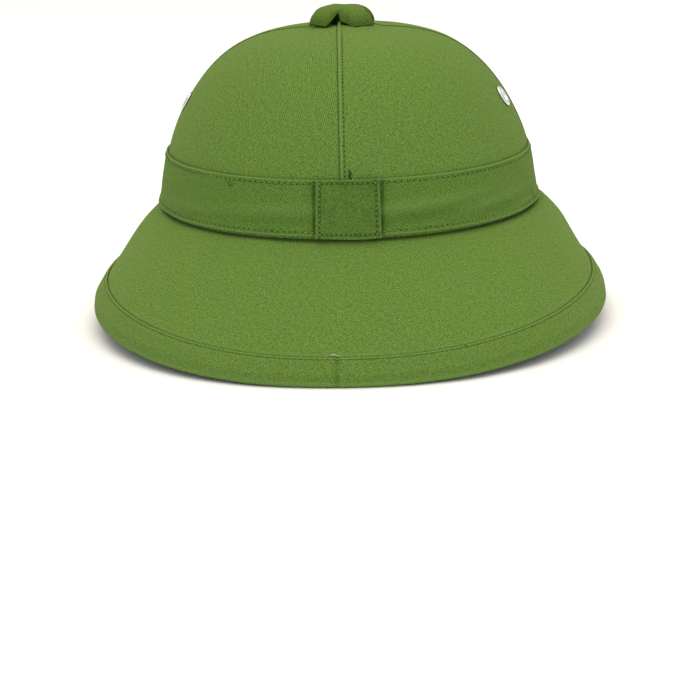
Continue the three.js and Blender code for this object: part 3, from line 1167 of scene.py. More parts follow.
@dataclass
class CrownGore:
    """One of the crown's four cloth gores, between a side seam and the front or rear seam.

    Attributes:
        side: which side of the helmet it is on.
        end: which end of the helmet it is on.
        side_edge: how its edge lies at the side seam.
        end_edge: how its edge lies at the front or rear seam.
        topstitch: how far the topstitching lies from the seam.
        ridge: how far the folded allowances lift the cloth.
        top_rise: how far the cloth rises towards the vent hole.
        nub_height: how high the allowances' end stands beside the vent hole.
        fine: the size of the mesh's fine steps beside a seam.
    """

    form: HelmetForm
    layers: Layers
    side: Side
    end: End
    side_edge: SeamEdge
    end_edge: SeamEdge
    foot_row: float = CREASE + 0.032
    top_share: float = 0.083
    seam_gap: float = 0.02 * MM
    topstitch: float = 2.4 * MM
    ridge: float = 0.45 * MM
    top_rise: float = 1.4 * MM
    nub_height: float = 1.9 * MM
    fine: float = 0.3 * MM
    fine_steps: int = 15
    middle_steps: int = 66
    row_count: int = 104

    @property
    def name(self) -> str:
        """The gore's place in words, as in its solid's name."""
        return f"crown_gore_{self.end.name.lower()}_{self.side.name.lower()}"

    def _rows(self) -> np.ndarray:
        """Rows from the gore's foot under the band to its top beside the vent hole."""
        hidden = np.linspace(self.foot_row, WALL_TOP, 12)[:-1]
        return np.concatenate([hidden, self.form.even_rows(WALL_TOP, self._top_row(), self.row_count)])

    def _top_row(self) -> float:
        """The row where the gore ends beside the vent hole."""
        return self.form.crown_row(self.top_share)

    def _arc(self, rows: np.ndarray) -> tuple[np.ndarray, np.ndarray]:
        """Angles from the side seam to the end seam at each row, and the lengths to them.

        Args:
            rows: the rows.

        Returns:
            The angles and the lengths, each with a line for each row.
        """
        side_seam = 0.0 if self.side is Side.LEFT else math.pi
        share = np.linspace(0, 1, 200)[None, :]
        seam = self.form.seam_angle(rows)[:, None]
        angles = self.end.value * (side_seam * (1 - share) + seam * share)
        return angles, path_lengths(self.form.point(angles, rows[:, None]), 1)

    def angles_at(self, rows: np.ndarray, from_end: np.ndarray | float) -> np.ndarray:
        """The angle at each row that lies a distance from the front or rear seam.

        Args:
            rows: the rows.
            from_end: the distance.

        Returns:
            The angles.
        """
        angles, lengths = self._arc(rows)
        wanted = lengths[:, -1] - from_end
        return np.array([np.interp(w, length, angle) for w, length, angle in zip(wanted, lengths, angles)])

    def angles_beside_side_seam(self, rows: np.ndarray, distance: float) -> np.ndarray:
        """The angle at each row that lies a distance from the side seam."""
        angles, lengths = self._arc(rows)
        return np.array([np.interp(distance, length, angle) for length, angle in zip(lengths, angles)])

    def _seam_relief(self, distance: np.ndarray, edge: SeamEdge) -> np.ndarray:
        """How far the cloth stands out beside a seam.

        Args:
            distance: distances from the seam.
            edge: whether the cloth lies over the folded allowances or against them.

        Returns:
            The relief.
        """
        if edge is SeamEdge.LOW:
            return -0.25 * MM * np.exp(-distance / (0.4 * MM)) + 0.1 * MM * hump(distance, 2.5 * MM, 1.5 * MM)
        rise = ramp(distance, -0.25 * MM, 0.5 * MM)
        over = self.ridge * rise * (1 - ramp(distance, 1.5 * MM, self.topstitch))
        stitched = -0.2 * MM * hump(distance, self.topstitch, 0.42 * MM)
        return over + stitched + 0.12 * MM * hump(distance, 4.2 * MM, 1.5 * MM)

    def _seam_wear_highlight_shade(self, distance: np.ndarray, edge: SeamEdge) -> tuple[np.ndarray, np.ndarray]:
        """How pale, with wear and painted highlight, and how dark, with painted shade, the cloth is beside a
        seam.

        Args:
            distance: distances from the seam.
            edge: whether the cloth lies over the folded allowances or against them.

        Returns:
            The wear with painted highlight on the raised allowances, and the painted shade in the seam's
            groove.
        """
        # Painted shade in the groove where the cloth lies against the allowances; wear with painted highlight
        # on the raised ridge.
        if edge is SeamEdge.LOW:
            return 0 * distance, 0.35 * hump(distance, 0.0, 0.5 * MM)
        wear_and_highlight = 0.5 * hump(distance, 1.0 * MM, 0.5 * MM)
        return wear_and_highlight, 0.8 * hump(distance, 0.0, 0.25 * MM) + 0.2 * hump(distance, self.topstitch, 0.3 * MM)

    def make(self, finishes: Finishes, eyelets: list[Eyelet]) -> bpy.types.Object:
        """Builds the gore, with its seams' relief and the holes of its eyelets.

        Args:
            finishes: the materials.
            eyelets: the eyelets that go through it.

        Returns:
            The finished piece.
        """
        rows = self._rows()
        arc_angles, lengths = self._arc(rows)
        spans = lengths[:, -1] - 2 * self.seam_gap
        places = self.seam_gap + np.array(
            [edge_spaced(span, self.fine, self.fine_steps, self.middle_steps) for span in spans]
        )
        angle = np.array([np.interp(p, length, a) for p, length, a in zip(places, lengths, arc_angles)])
        row = np.broadcast_to(rows[:, None], angle.shape)
        from_side, from_end = places, lengths[:, -1:] - places
        surface = self.form.point(angle, row)
        climb = path_lengths(self.form.point(REAR / 2, rows)[:, None], 0)
        from_top = climb[-1] - climb
        relief = self._seam_relief(from_side, self.side_edge) + self._seam_relief(from_end, self.end_edge)
        relief += self._nub(from_top, from_end)
        relief *= 0.35 + 0.65 * ramp(row, WALL_TOP - 0.04, WALL_TOP + 0.02)
        swells = 0.16 * MM * unevenness(surface, (0.05, 0.05, 0.04), 11)
        relief += swells * ramp(row, WALL_TOP, WALL_TOP + 0.1)
        relief += self.top_rise * (1 - ramp(from_top, 4 * MM, 14 * MM))
        half = self.layers.cloth / 2 * edge_roll(from_top, self.layers.cloth)
        for distance, edge in ((from_side, self.side_edge), (from_end, self.end_edge)):
            if edge is SeamEdge.RIDGE:
                half = half * (0.55 + 0.45 * edge_roll(distance, 0.7 * self.layers.cloth))
        middle = -self.layers.cloth / 2
        # Painted shade: in the seams' grooves, along the band's top edge, and beside the vent hole, where it
        # darkens the opening under the straps.
        side_wear_and_highlight, side_shade = self._seam_wear_highlight_shade(from_side, self.side_edge)
        if self.side_edge is SeamEdge.LOW:
            side_shade = side_shade + 0.2 * hump(from_side, 0.0, 0.6 * MM)
        end_wear_and_highlight, end_shade = self._seam_wear_highlight_shade(from_end, self.end_edge)
        shade_under_band = 0.12 * hump(row, WALL_TOP, 0.006)
        shade = side_shade + end_shade + shade_under_band + 1 - ramp(from_top, 0.2 * MM, 0.8 * MM)
        outside = np.maximum(middle + half + relief, middle - half + 0.15 * MM)
        across = np.sign(angle[:, -1:] - angle[:, :1]) * (places - lengths[:, -1:] / 2)
        grid = ClothGrid(
            outer=self.form.offset(angle, row, outside),
            inner=self.form.offset(angle, row, middle - half),
            weave=np.stack(np.broadcast_arrays(across, climb), axis=-1),
            wear_and_highlight=np.clip(side_wear_and_highlight + end_wear_and_highlight, 0, 1),
            shade=np.clip(shade, 0, 1),
        )
        piece = grid.make(self.name + "_cloth")
        piece.data.materials.append(finishes.crown_cloth)
        for eyelet in eyelets:
            eyelet.drill(piece)
        settle(piece, Slot.CLOTH, self.name)
        return piece

    def _nub(self, from_top: np.ndarray, from_end: np.ndarray) -> np.ndarray:
        """The folded allowances' end, which stands up beside the vent hole.

        Args:
            from_top: distances from the gore's top.
            from_end: distances from the front or rear seam.

        Returns:
            Its relief.
        """
        if self.end_edge is SeamEdge.LOW:
            return 0 * from_end
        standing = ramp(from_top, 0.4 * MM, 1.4 * MM) * (1 - ramp(from_top, 2.4 * MM, 6 * MM))
        return self.nub_height * standing * hump(from_end, 1.5 * MM, 1.1 * MM)

    def topstitch_lines(self) -> list[Line]:
        """The lines of stitches beside the seams that this gore lies over."""
        rows = self.form.even_rows(WALL_TOP + 0.012, self._top_row() - 0.015, 120)
        lines = []
        if self.end_edge is SeamEdge.RIDGE:
            angles = self.angles_at(rows, self.topstitch)
            lines.append(self.form.line(angles, rows, 0.0))
        if self.side_edge is SeamEdge.RIDGE:
            angles = self.angles_beside_side_seam(rows, self.topstitch)
            lines.append(self.form.line(angles, rows, 0.0))
        return lines


@dataclass
class BrimCover:
    """The one-piece cloth cover of the brim's upper side, from under the binding up to under the band."""

    form: HelmetForm
    layers: Layers
    foot_row: float = HEM - 0.62
    top_row: float = CREASE + 0.031
    columns: int = 560
    row_count: int = 66
    bulge: float = 2.0 * MM
    cone_share: float = 0.616

    def make(self, finishes: Finishes) -> bpy.types.Object:
        """Builds the cover, sunk beside its binding and swelled at the front and rear.

        Args:
            finishes: the materials.

        Returns:
            The finished piece.
        """
        angles = turns(self.columns) - REAR
        rows = np.concatenate(
            [
                np.linspace(self.foot_row, HEM - 0.04, 6)[:-1],
                np.linspace(HEM - 0.04, HEM + 0.3, 24),
                self.form.even_rows(HEM + 0.3, CREASE, self.row_count - 36)[1:],
                np.linspace(CREASE, self.top_row, 5)[1:],
            ]
        )
        angle, row = np.meshgrid(angles, rows)
        surface = self.form.point(angle, row)
        climb = path_lengths(surface, 0)
        from_binding = climb - climb[int(np.argmin(np.abs(rows - HEM)))] - 1.1 * MM
        relief = -0.15 * MM * (1 - ramp(from_binding, 0.0, 1.2 * MM))
        relief += 0.24 * MM * unevenness(surface, (0.045, 0.045, 0.06), 23) * ramp(from_binding, 0.001, 0.008)
        aside = np.degrees(np.arccos(-np.cos(angle)))
        swell = self.bulge * hump(aside, 0.0, 38.0) * ramp(row, HEM + 0.15, MIDDLE + 0.3)
        swell = swell * (1 - ramp(row, SHOULDER + 0.2, CREASE - 0.1))
        rim = np.minimum(climb, climb[-1:] - climb)
        half = self.layers.cloth / 2 * edge_roll(rim, self.layers.cloth)
        middle = swell - self.layers.cloth / 2
        # Painted shade in the groove beside the binding and in the band's shadow below its foot; wear with
        # painted highlight on the cloth just above the groove.
        shade = 0.4 * hump(from_binding, 0.0, 0.35 * MM) + ramp(row, CREASE - 0.09, CREASE - 0.01)
        grid = ClothGrid(
            outer=self.form.offset(angle, row, middle + half + relief),
            inner=self.form.offset(angle, row, middle - half),
            weave=self._cut(rows),
            wear_and_highlight=0.25 * hump(from_binding, 1.3 * MM, 0.8 * MM),
            shade=np.clip(shade, 0, 1),
            closed=True,
        )
        piece = grid.make("brim_cloth")
        piece.data.materials.append(finishes.brim_cloth)
        settle(piece, Slot.CLOTH, "brim_cover")
        return piece

    def _cut(self, rows: np.ndarray) -> np.ndarray:
        """The cloth's own lengths: the brim rolled out flat as a cone, from its front right round.

        Args:
            rows: the rows.

        Returns:
            The place of each row and column on the flat cloth.
        """
        turn = np.linspace(-REAR, 2 * math.pi - REAR, self.columns + 1)
        place = self.form.point(turn[None, :], rows[:, None])
        slant = np.hypot(place[..., 0], place[..., 1]) / self.cone_share
        spread = (turn[None, :] - REAR) * self.cone_share
        return np.stack([slant * np.sin(spread), -slant * np.cos(spread)], axis=-1)


@dataclass
class HemBinding:
    """The cloth strip wrapped round the brim's edge, with its join at the rear.

    Attributes:
        fold_radius: the fold's outer radius.
        leg: how many rows the outer leg runs down before the fold.
        join_angle: where its ends meet.
    """

    form: HelmetForm
    layers: Layers
    fold_radius: float = 2.6 * MM
    leg: float = 0.62
    top_row: float = HEM + 0.04
    join_angle: float = REAR - 0.3 * math.pi / 180
    stitch_inset: float = 1.25 * MM
    columns: int = 720

    def _middle(self, angle: np.ndarray) -> np.ndarray:
        """The strip's middle surface, from the inner leg's edge round the fold to the outer leg's.

        Args:
            angle: its columns' angles.

        Returns:
            A grid of places.
        """
        outer_leg = self.layers.gap + self.layers.cloth / 2
        inner_leg = self.layers.shell_inside - self.layers.gap - self.layers.cloth / 2
        shell_middle = (self.layers.shell_outside + self.layers.shell_inside) / 2
        centre = self.form.offset(angle, EDGE, shell_middle)
        outward = self.form.normal(angle, EDGE)
        outward = unit(outward * np.array([1, 1, 0]))
        wide = self.fold_radius - self.layers.cloth / 2
        level_share = math.sin(math.radians(70))
        deep = self.fold_radius * level_share - self.layers.cloth / 2
        stations = []
        for row in np.linspace(self.top_row, HEM - self.leg, 7):
            stations.append(self.form.offset(angle, row, inner_leg))
        for degrees in (-140, -115, -90, -65, -35, -5, 20):
            turn = math.radians(degrees)
            tall = deep if degrees < 0 else wide
            lift = np.array([0, 0, tall * math.sin(turn)])
            stations.append(centre + outward * wide * math.cos(turn) + lift)
        for row in np.linspace(HEM - self.leg, self.top_row, 7):
            stations.append(self.form.offset(angle, row, outer_leg))
        return spline_grid(np.stack(stations), 96)

    def make(self, finishes: Finishes) -> bpy.types.Object:
        """Builds the strip, rolled at its sewn edges.

        Args:
            finishes: the materials.

        Returns:
            The finished piece.
        """
        angle = self.join_angle + turns(self.columns)
        middle = self._middle(angle)
        climb = path_lengths(middle, 0)
        rows = self._spaced_rows(climb.mean(axis=1))
        middle = np.stack([rows_between(middle[..., k], rows) for k in range(3)], axis=-1)
        climb = path_lengths(middle, 0)
        from_top = climb[-1:] - climb
        up = np.gradient(middle, axis=0)
        around = np.roll(middle, -1, axis=1) - np.roll(middle, 1, axis=1)
        facing = unit(np.cross(around, up))
        seat = 1 - ramp(from_top, 0.3 * MM, 3.5 * MM)
        roll = edge_roll(np.minimum(climb, from_top), self.layers.cloth)
        half = self.layers.cloth / 2 * roll * (1 - 0.25 * seat)
        middle = middle - facing * (0.36 * MM * seat)[..., None]
        around_length = angle * self.form.hem.half_length
        join = np.minimum(np.arange(self.columns), self.columns - np.arange(self.columns))
        from_join = (join * (around_length[1] - around_length[0]))[None, :]
        relief = 0.16 * MM * hump(from_top, 0.6 * MM, 0.45 * MM)
        relief = relief + 0.12 * MM * hump(from_top, 2.8 * MM, 1.0 * MM)
        relief = relief - 0.22 * MM * hump(from_top, self.stitch_inset, 0.4 * MM)
        swells = 0.2 * MM * unevenness(middle, (0.03, 0.03, 0.02), 31)
        relief = relief + swells * ramp(from_top, 2 * MM, 5 * MM)
        relief = relief - 0.45 * MM * hump(from_join, 0.0, 0.6 * MM)
        relief = relief + 0.2 * MM * hump(from_join, 2.2 * MM, 1.2 * MM)
        # Pale lines: wear with painted highlight on the fold and the top edge. Dark lines: painted shade in
        # the stitch groove and the join's groove.
        fold_line = hump(middle[..., 2] - middle[..., 2].min(axis=0), 1.2 * MM, 1.0 * MM)
        outside = ramp(from_top, 0.017, 0.012)
        wide = np.linspace(0, 1, self.columns + 1) * 2 * math.pi * self.form.hem.half_length
        stitched = 0.3 * hump(from_top, self.stitch_inset, 0.3 * MM)
        grid = ClothGrid(
            outer=middle + facing * (half + relief * outside)[..., None],
            inner=middle - facing * half[..., None],
            weave=np.stack(np.broadcast_arrays(wide[None, :], climb[:, :1]), axis=-1),
            wear_and_highlight=np.clip(0.7 * fold_line * outside + 0.7 * hump(from_top, 0.45 * MM, 0.4 * MM), 0, 1),
            shade=np.clip(stitched + 0.4 * hump(from_join, 0.0, 0.4 * MM), 0, 1),
            closed=True,
        )
        piece = grid.make("binding_strip")
        piece.data.materials.append(finishes.binding_cloth)
        settle(piece, Slot.BINDING, "hem_binding")
        return piece

    @staticmethod
    def _spaced_rows(climb: np.ndarray) -> np.ndarray:
        """Places among the middle surface's rows, finer beside the two sewn edges."""
        wanted = edge_spaced(climb[-1], 0.12 * MM, 8, 52)
        return np.interp(wanted, climb, np.arange(len(climb)))

    def stitch_line(self) -> Line:
        """The line of stitches just below the binding's sewn edge."""
        return self.form.line(np.linspace(0, 2 * math.pi, 900), HEM, 0.95 * MM)


def spline_grid(knots: np.ndarray, count: int) -> np.ndarray:
    """Smooth lines through rows of places, each column its own line."""
    columns = [spline(knots[:, j], count) for j in range(knots.shape[1])]
    return np.stack(columns, axis=1)


def rows_between(values: np.ndarray, places: np.ndarray) -> np.ndarray:
    """The values at places between the rows of a grid.

    Args:
        values: the grid's values.
        places: where they are wanted, in rows from the first.

    Returns:
        The values there.
    """
    low = np.clip(np.floor(places).astype(int), 0, len(values) - 2)
    share = (places - low)[:, None]
    return values[low] * (1 - share) + values[low + 1] * share


@dataclass
class HatBand:
    """The stitched cloth band round the crown's foot, a little slack and wrinkled below."""

    form: HelmetForm
    layers: Layers
    foot_row: float = CREASE + 0.06
    stitch_inset: float = 2.1 * MM
    keeper_edges: tuple[float, float] = (12.4 * MM, -20.0 * MM)
    columns: int = 760
    steps_up: int = 26

    def make(self, finishes: Finishes) -> bpy.types.Object:
        """Builds the band, with its sewn grooves and its soft wrinkles.

        Args:
            finishes: the materials.

        Returns:
            The finished piece.
        """
        angles = turns(self.columns)
        foot_and_top = self.form.point(REAR, np.array([self.foot_row, WALL_TOP]))
        height = float(path_lengths(foot_and_top[:, None], 0)[-1, 0])
        climb = edge_spaced(height, 0.16 * MM, 5, 10 + self.steps_up)
        rows = self.foot_row + (WALL_TOP - self.foot_row) * climb / height
        angle, row = np.meshgrid(angles, rows)
        climb = np.broadcast_to(climb[:, None], angle.shape)
        from_top = height - climb
        surface = self.form.point(angle, row)
        wrinkles = self._wrinkles(angle, climb / height)
        relief = wrinkles
        for inwards in (climb, from_top):
            relief = relief - 0.2 * MM * hump(inwards, self.stitch_inset, 0.55 * MM)
        for inwards in (climb, from_top):
            relief = relief + 0.16 * MM * hump(inwards, 0.7 * MM, 0.6 * MM)
        relief = relief + 0.18 * MM * (1 + unevenness(surface, (0.035, 0.035, 0.02), 41))
        slack = 1 + 0.6 * unevenness(surface, (0.05, 0.05, 1), 43)
        flare = 0.5 * MM * (1 - ramp(climb, 0.0, 6 * MM)) * slack
        half = self.layers.band / 2 * edge_roll(np.minimum(climb, from_top), self.layers.band)
        seat = 0.27 * MM * (1 - ramp(from_top, 0.5 * MM, 4 * MM))
        middle = self.layers.gap + self.layers.band / 2 + flare - seat
        wide = np.linspace(0, 1, self.columns + 1) * self._length()
        folds = wrinkles / (0.6 * MM)
        # Painted shadow of the keeper on the band beside its edges, on the rear half only.
        beside = sum(
            0.7 * hump(surface[..., 0], edge, 0.9 * MM) + 0.15 * hump(surface[..., 0], edge, 3 * MM)
            for edge in self.keeper_edges
        ) * (surface[..., 1] > 0)
        # Pale lines: wear with painted highlight on the folded top and foot. Shade: painted shade in the
        # stitch grooves, under the wrinkles and along the foot.
        wear_and_highlight = 0.8 * hump(from_top, 0.35 * MM, 0.35 * MM) + 0.5 * hump(climb, 0.5 * MM, 0.4 * MM)
        shade = 0.2 * (hump(from_top, self.stitch_inset, 0.4 * MM) + hump(climb, self.stitch_inset, 0.4 * MM))
        shade = shade + beside + 0.3 * np.maximum(-folds, 0) + 0.6 * hump(climb, 0.0, 0.15 * MM)
        grid = ClothGrid(
            outer=self.form.offset(angle, row, middle + half + relief),
            inner=self.form.offset(angle, row, middle - half),
            weave=np.stack(np.broadcast_arrays(wide[None, :], climb[:, :1]), axis=-1),
            # Painted highlight on the tops of the wrinkles.
            wear_and_highlight=np.clip(wear_and_highlight + 0.22 * np.maximum(folds, 0), 0, 1),
            shade=np.clip(shade, 0, 1),
            closed=True,
        )
        piece = grid.make("band_cloth")
        piece.data.materials.append(finishes.band_cloth)
        settle(piece, Slot.BAND, "hat_band")
        self._length()
        return piece

    def _length(self) -> float:
        """The band's length round the crown."""
        turn = np.linspace(0, 2 * math.pi, 721)
        return float(path_lengths(self.form.offset(turn, (CREASE + WALL_TOP) / 2, 1 * MM), 0)[-1])

    @staticmethod
    def _wrinkles(angle: np.ndarray, share: np.ndarray) -> np.ndarray:
        """Long soft folds: one rises to the right of the keeper, the others lie lower round the crown.

        Args:
            angle: angles on the band.
            share: how far up the band, from 0 to 1.

        Returns:
            The folds' relief.
        """
        folds = (
            (114, 20, 0.48, 0.11, 0.75), (140, 14, 0.34, 0.09, 0.5), (72, 16, 0.44, 0.11, 0.5),
            (38, 16, 0.28, 0.08, 0.3), (215, 24, 0.4, 0.1, 0.4), (262, 20, 0.3, 0.09, 0.35),
            (310, 26, 0.42, 0.1, 0.4), (350, 12, 0.34, 0.08, 0.3),
        )
        turn = np.degrees(angle) % 360
        total = np.zeros_like(angle)
        for middle, reach, height, width, depth in folds:
            aside = (turn - middle + 180) % 360 - 180
            line = height + 0.0035 * aside
            here = hump(aside, 0.0, reach)
            fold = hump(share, line, width) - 0.45 * hump(share, line - 1.7 * width, width)
            total += 1.5 * depth * MM * here * fold
        return total

    def stitch_lines(self) -> list[Line]:
        """The two rows of stitches, beside the band's top and its foot."""
        angles = np.linspace(0, 2 * math.pi, 1200)
        inset = self.stitch_inset / self.form.wall_climb
        lines = []
        for row, more in ((WALL_TOP - inset, -0.1 * MM), (self.foot_row + inset, 0.25 * MM)):
            lines.append(self.form.line(angles, row, self.layers.band_outside + 0.1 * MM + more))
        return lines


@dataclass
class BandKeeper:
    """The patch stitched over the band at the rear, a little to the right of the seam."""

    form: HelmetForm
    layers: Layers
    width: float = 31 * MM
    off_centre: float = -3.8 * MM
    foot_row: float = CREASE + 0.028
    thickness: float = 1.0 * MM
    stitch_inset: float = 2.0 * MM
    columns: int = 120
    row_count: int = 104

    @property
    def inside(self) -> float:
        """The patch's inner face."""
        return self.layers.band_outside + self.layers.gap

    def _angle_at(self, x: np.ndarray) -> np.ndarray:
        """The angle at a sideways place on the rear."""
        return np.arccos(x / self.form.crease.half_width)

    def make(self, finishes: Finishes) -> bpy.types.Object:
        """Builds the patch, rolled at its edges and sunk along its stitches.

        Args:
            finishes: the materials.

        Returns:
            The finished piece.
        """
        across = edge_spaced(self.width, 0.14 * MM, 5, self.columns - 10)
        x = self.off_centre + self.width / 2 - across
        rows = self.foot_row + (WALL_TOP - self.foot_row) * np.linspace(0, 1, self.row_count)
        angle, row = np.meshgrid(self._angle_at(x), rows)
        surface = self.form.point(angle, row)
        climb = path_lengths(surface, 0)
        along = path_lengths(surface, 1)
        rims = [climb, climb[-1:] - climb, along, along[:, -1:] - along]
        rim = np.minimum.reduce(rims)
        relief = sum(0.24 * MM * hump(d, 0.9 * MM, 0.6 * MM) - 0.3 * MM * hump(d, self.stitch_inset, 0.5 * MM)
                     for d in rims)
        relief = relief + 0.3 * MM * unevenness(surface, (0.014, 0.02, 0.016), 57) * ramp(rim, 0.001, 0.006)
        relief = relief + 0.35 * MM * ramp(rim, 0.002, 0.01)
        sag = -0.5 * MM * hump(along, 20 * MM, 9 * MM) * (1 - ramp(climb, 0, 4 * MM))
        half = self.thickness / 2 * edge_roll(rim, self.thickness)
        middle = self.inside + self.thickness / 2 + 0.3 * MM
        drop = np.zeros_like(surface)
        drop[..., 2] = sag
        # Pale lines: wear with painted highlight on the patch's folded edges. Shade: painted shade in its
        # stitch grooves.
        wear_and_highlight = 0.8 * hump(rims[2], 0.35 * MM, 0.35 * MM) + 0.65 * hump(rims[3], 0.4 * MM, 0.35 * MM)
        wear_and_highlight = wear_and_highlight + 0.6 * hump(rims[1], 0.3 * MM, 0.3 * MM) + 0.45 * hump(rims[0], 0.5 * MM, 0.4 * MM)
        shade = sum(0.25 * hump(d, self.stitch_inset, 0.35 * MM) for d in rims)
        grid = ClothGrid(
            outer=self.form.offset(angle, row, middle + half + relief) + drop,
            inner=self.form.offset(angle, row, middle - half) + drop,
            weave=np.stack([along, climb], axis=-1),
            wear_and_highlight=np.clip(wear_and_highlight, 0, 1),
            shade=np.clip(shade, 0, 1),
        )
        piece = grid.make("keeper_patch")
        piece.data.materials.append(finishes.keeper_cloth)
        settle(piece, Slot.BAND, "band_keeper")
        return piece

    def stitch_lines(self) -> list[Line]:
        """The stitches beside the patch's four edges."""
        inset = self.stitch_inset
        row_inset = inset / self.form.wall_climb
        left, right = self.off_centre + self.width / 2 - inset, self.off_centre - self.width / 2 + inset
        low, high = self.foot_row + row_inset, WALL_TOP - row_inset
        ends = (((left, low), (left, high)), ((right, low), (right, high)),
                ((left, high), (right, high)), ((left, low), (right, low)))
        lines = []
        share = np.linspace(0, 1, 60)
        lift = self.inside + self.thickness + 0.28 * MM
        for start, end in ends:
            x = start[0] + (end[0] - start[0]) * share
            rows = start[1] + (end[1] - start[1]) * share
            lines.append(self.form.line(self._angle_at(x), rows, lift))
        return lines


@dataclass
class Eyelet:
    """A ventilation eyelet: a domed flange on the cloth, a barrel through the wall and a rolled lip inside.

    Attributes:
        side: which side of the crown it is in.
        degrees: its angle.
        rise: how high it sits on the crown, as a share of the crown's height.
        drill_radius: the radius of the hole in the cloth and the shell.
        drill_reach: how far the drill goes to each side of the cloth's surface.
    """

    form: HelmetForm
    layers: Layers
    side: Side
    degrees: float
    rise: float
    flange_radius: float = 5.8 * MM
    bore_radius: float = 2.8 * MM
    barrel_radius: float = 3.5 * MM
    dome: float = 1.3 * MM
    lip_radius: float = 4.8 * MM
    drill_radius: float = 0.0038
    drill_reach: float = 0.012
    sides: int = 72

    @property
    def name(self) -> str:
        """The solid's name."""
        return f"eyelet_{self.side.name.lower()}"

    def _place(self) -> Matrix:
        """The turn and place that put its axis, +Z, along the cloth's normal."""
        angle, row = np.array(math.radians(self.degrees)), np.array(self.form.rise_row(self.rise))
        normal = Vector(self.form.normal(angle, row))
        turn = Vector((0, 0, 1)).rotation_difference(normal)
        return Matrix.Translation(Vector(self.form.point(angle, row))) @ turn.to_matrix().to_4x4()

    def drill(self, piece: bpy.types.Object) -> None:
        """Cuts the eyelet's round hole through a piece.

        Args:
            piece: the piece.
        """
        wide, deep = self.drill_radius, self.drill_reach
        drill = turned_solid("drill", [(0, -deep), (wide, -deep), (wide, deep), (0, deep)], 48, False)
        drill.data.transform(self._place())
        cut = piece.modifiers.new("hole", "BOOLEAN")
        cut.operation = "DIFFERENCE"
        cut.solver = "EXACT"
        cut.object = drill
        mesh = evaluated_mesh(piece)
        piece.modifiers.clear()
        old = piece.data
        mesh.name = old.name
        piece.data = mesh
        bpy.data.meshes.remove(old)
        bpy.data.objects.remove(drill)

    def make(self, finishes: Finishes) -> bpy.types.Object:
        """Builds the eyelet as a turned solid.

        Args:
            finishes: the materials.

        Returns:
            The finished piece.
        """
        seat = 0.2 * MM
        lip_top = self.layers.shell_inside - 0.48 * MM
        bore, flange = self.bore_radius, self.flange_radius
        crest = (flange + bore) / 2
        profile = [
            (bore, lip_top - 0.5 * MM), (bore + 0.3 * MM, lip_top - 0.8 * MM),
            (self.lip_radius - 0.5 * MM, lip_top - 0.8 * MM), (self.lip_radius, lip_top - 0.4 * MM),
            (self.lip_radius - 0.2 * MM, lip_top), (self.barrel_radius, lip_top),
            (self.barrel_radius, seat), (flange - 0.25 * MM, seat), (flange, seat + 0.2 * MM),
            (flange - 0.5 * MM, seat + 0.72 * MM), (crest + 0.5 * MM, self.dome - 0.08 * MM),
            (crest, self.dome), (crest - 0.6 * MM, self.dome - 0.06 * MM),
            (bore + 0.35 * MM, self.dome - 0.4 * MM), (bore, self.dome - 1.0 * MM),
        ]
        piece = turned_solid(self.name + "_metal", profile, self.sides, True)
        piece.data.transform(self._place())
        piece.data.materials.append(finishes.metal)
        return settle(piece, Slot.METAL, self.name)


def turned_solid(name: str, profile: list[tuple[float, float]], sides: int, ring: bool) -> bpy.types.Object:
    """A solid turned about +Z.

    Args:
        name: the object's name.
        profile: radii and heights.
        sides: how many steps it has around.
        ring: whether the profile closes on itself. Otherwise it starts and ends on the axis.

    Returns:
        The object, in the scene.
    """
    turn = turns(sides)
    on_axis = [] if ring else [0, len(profile) - 1]
    vertices, rings = [], []
    for index, (radius, height) in enumerate(profile):
        if index in on_axis:
            rings.append([len(vertices)] * sides)
            vertices.append((0.0, 0.0, height))
            continue
        rings.append(list(range(len(vertices), len(vertices) + sides)))
        vertices += [(radius * math.cos(t), radius * math.sin(t), height) for t in turn]
    faces = []
    pairs = list(zip(rings, rings[1:] + ([rings[0]] if ring else [])))
    for low, high in pairs:
        for j in range(sides):
            k = (j + 1) % sides
            corners = list(dict.fromkeys((low[j], low[k], high[k], high[j])))
            faces.append(corners)
    mesh = bpy.data.meshes.new(name)
    mesh.from_pydata(vertices, [], faces)
    solid_volume = sum(
        Vector(vertices[f[0]]).dot(Vector(vertices[f[k]]).cross(Vector(vertices[f[k + 1]])))
        for f in faces
        for k in range(1, len(f) - 1)
    )
    if solid_volume < 0:
        mesh.flip_normals()
    return in_scene(name, smooth(mesh))


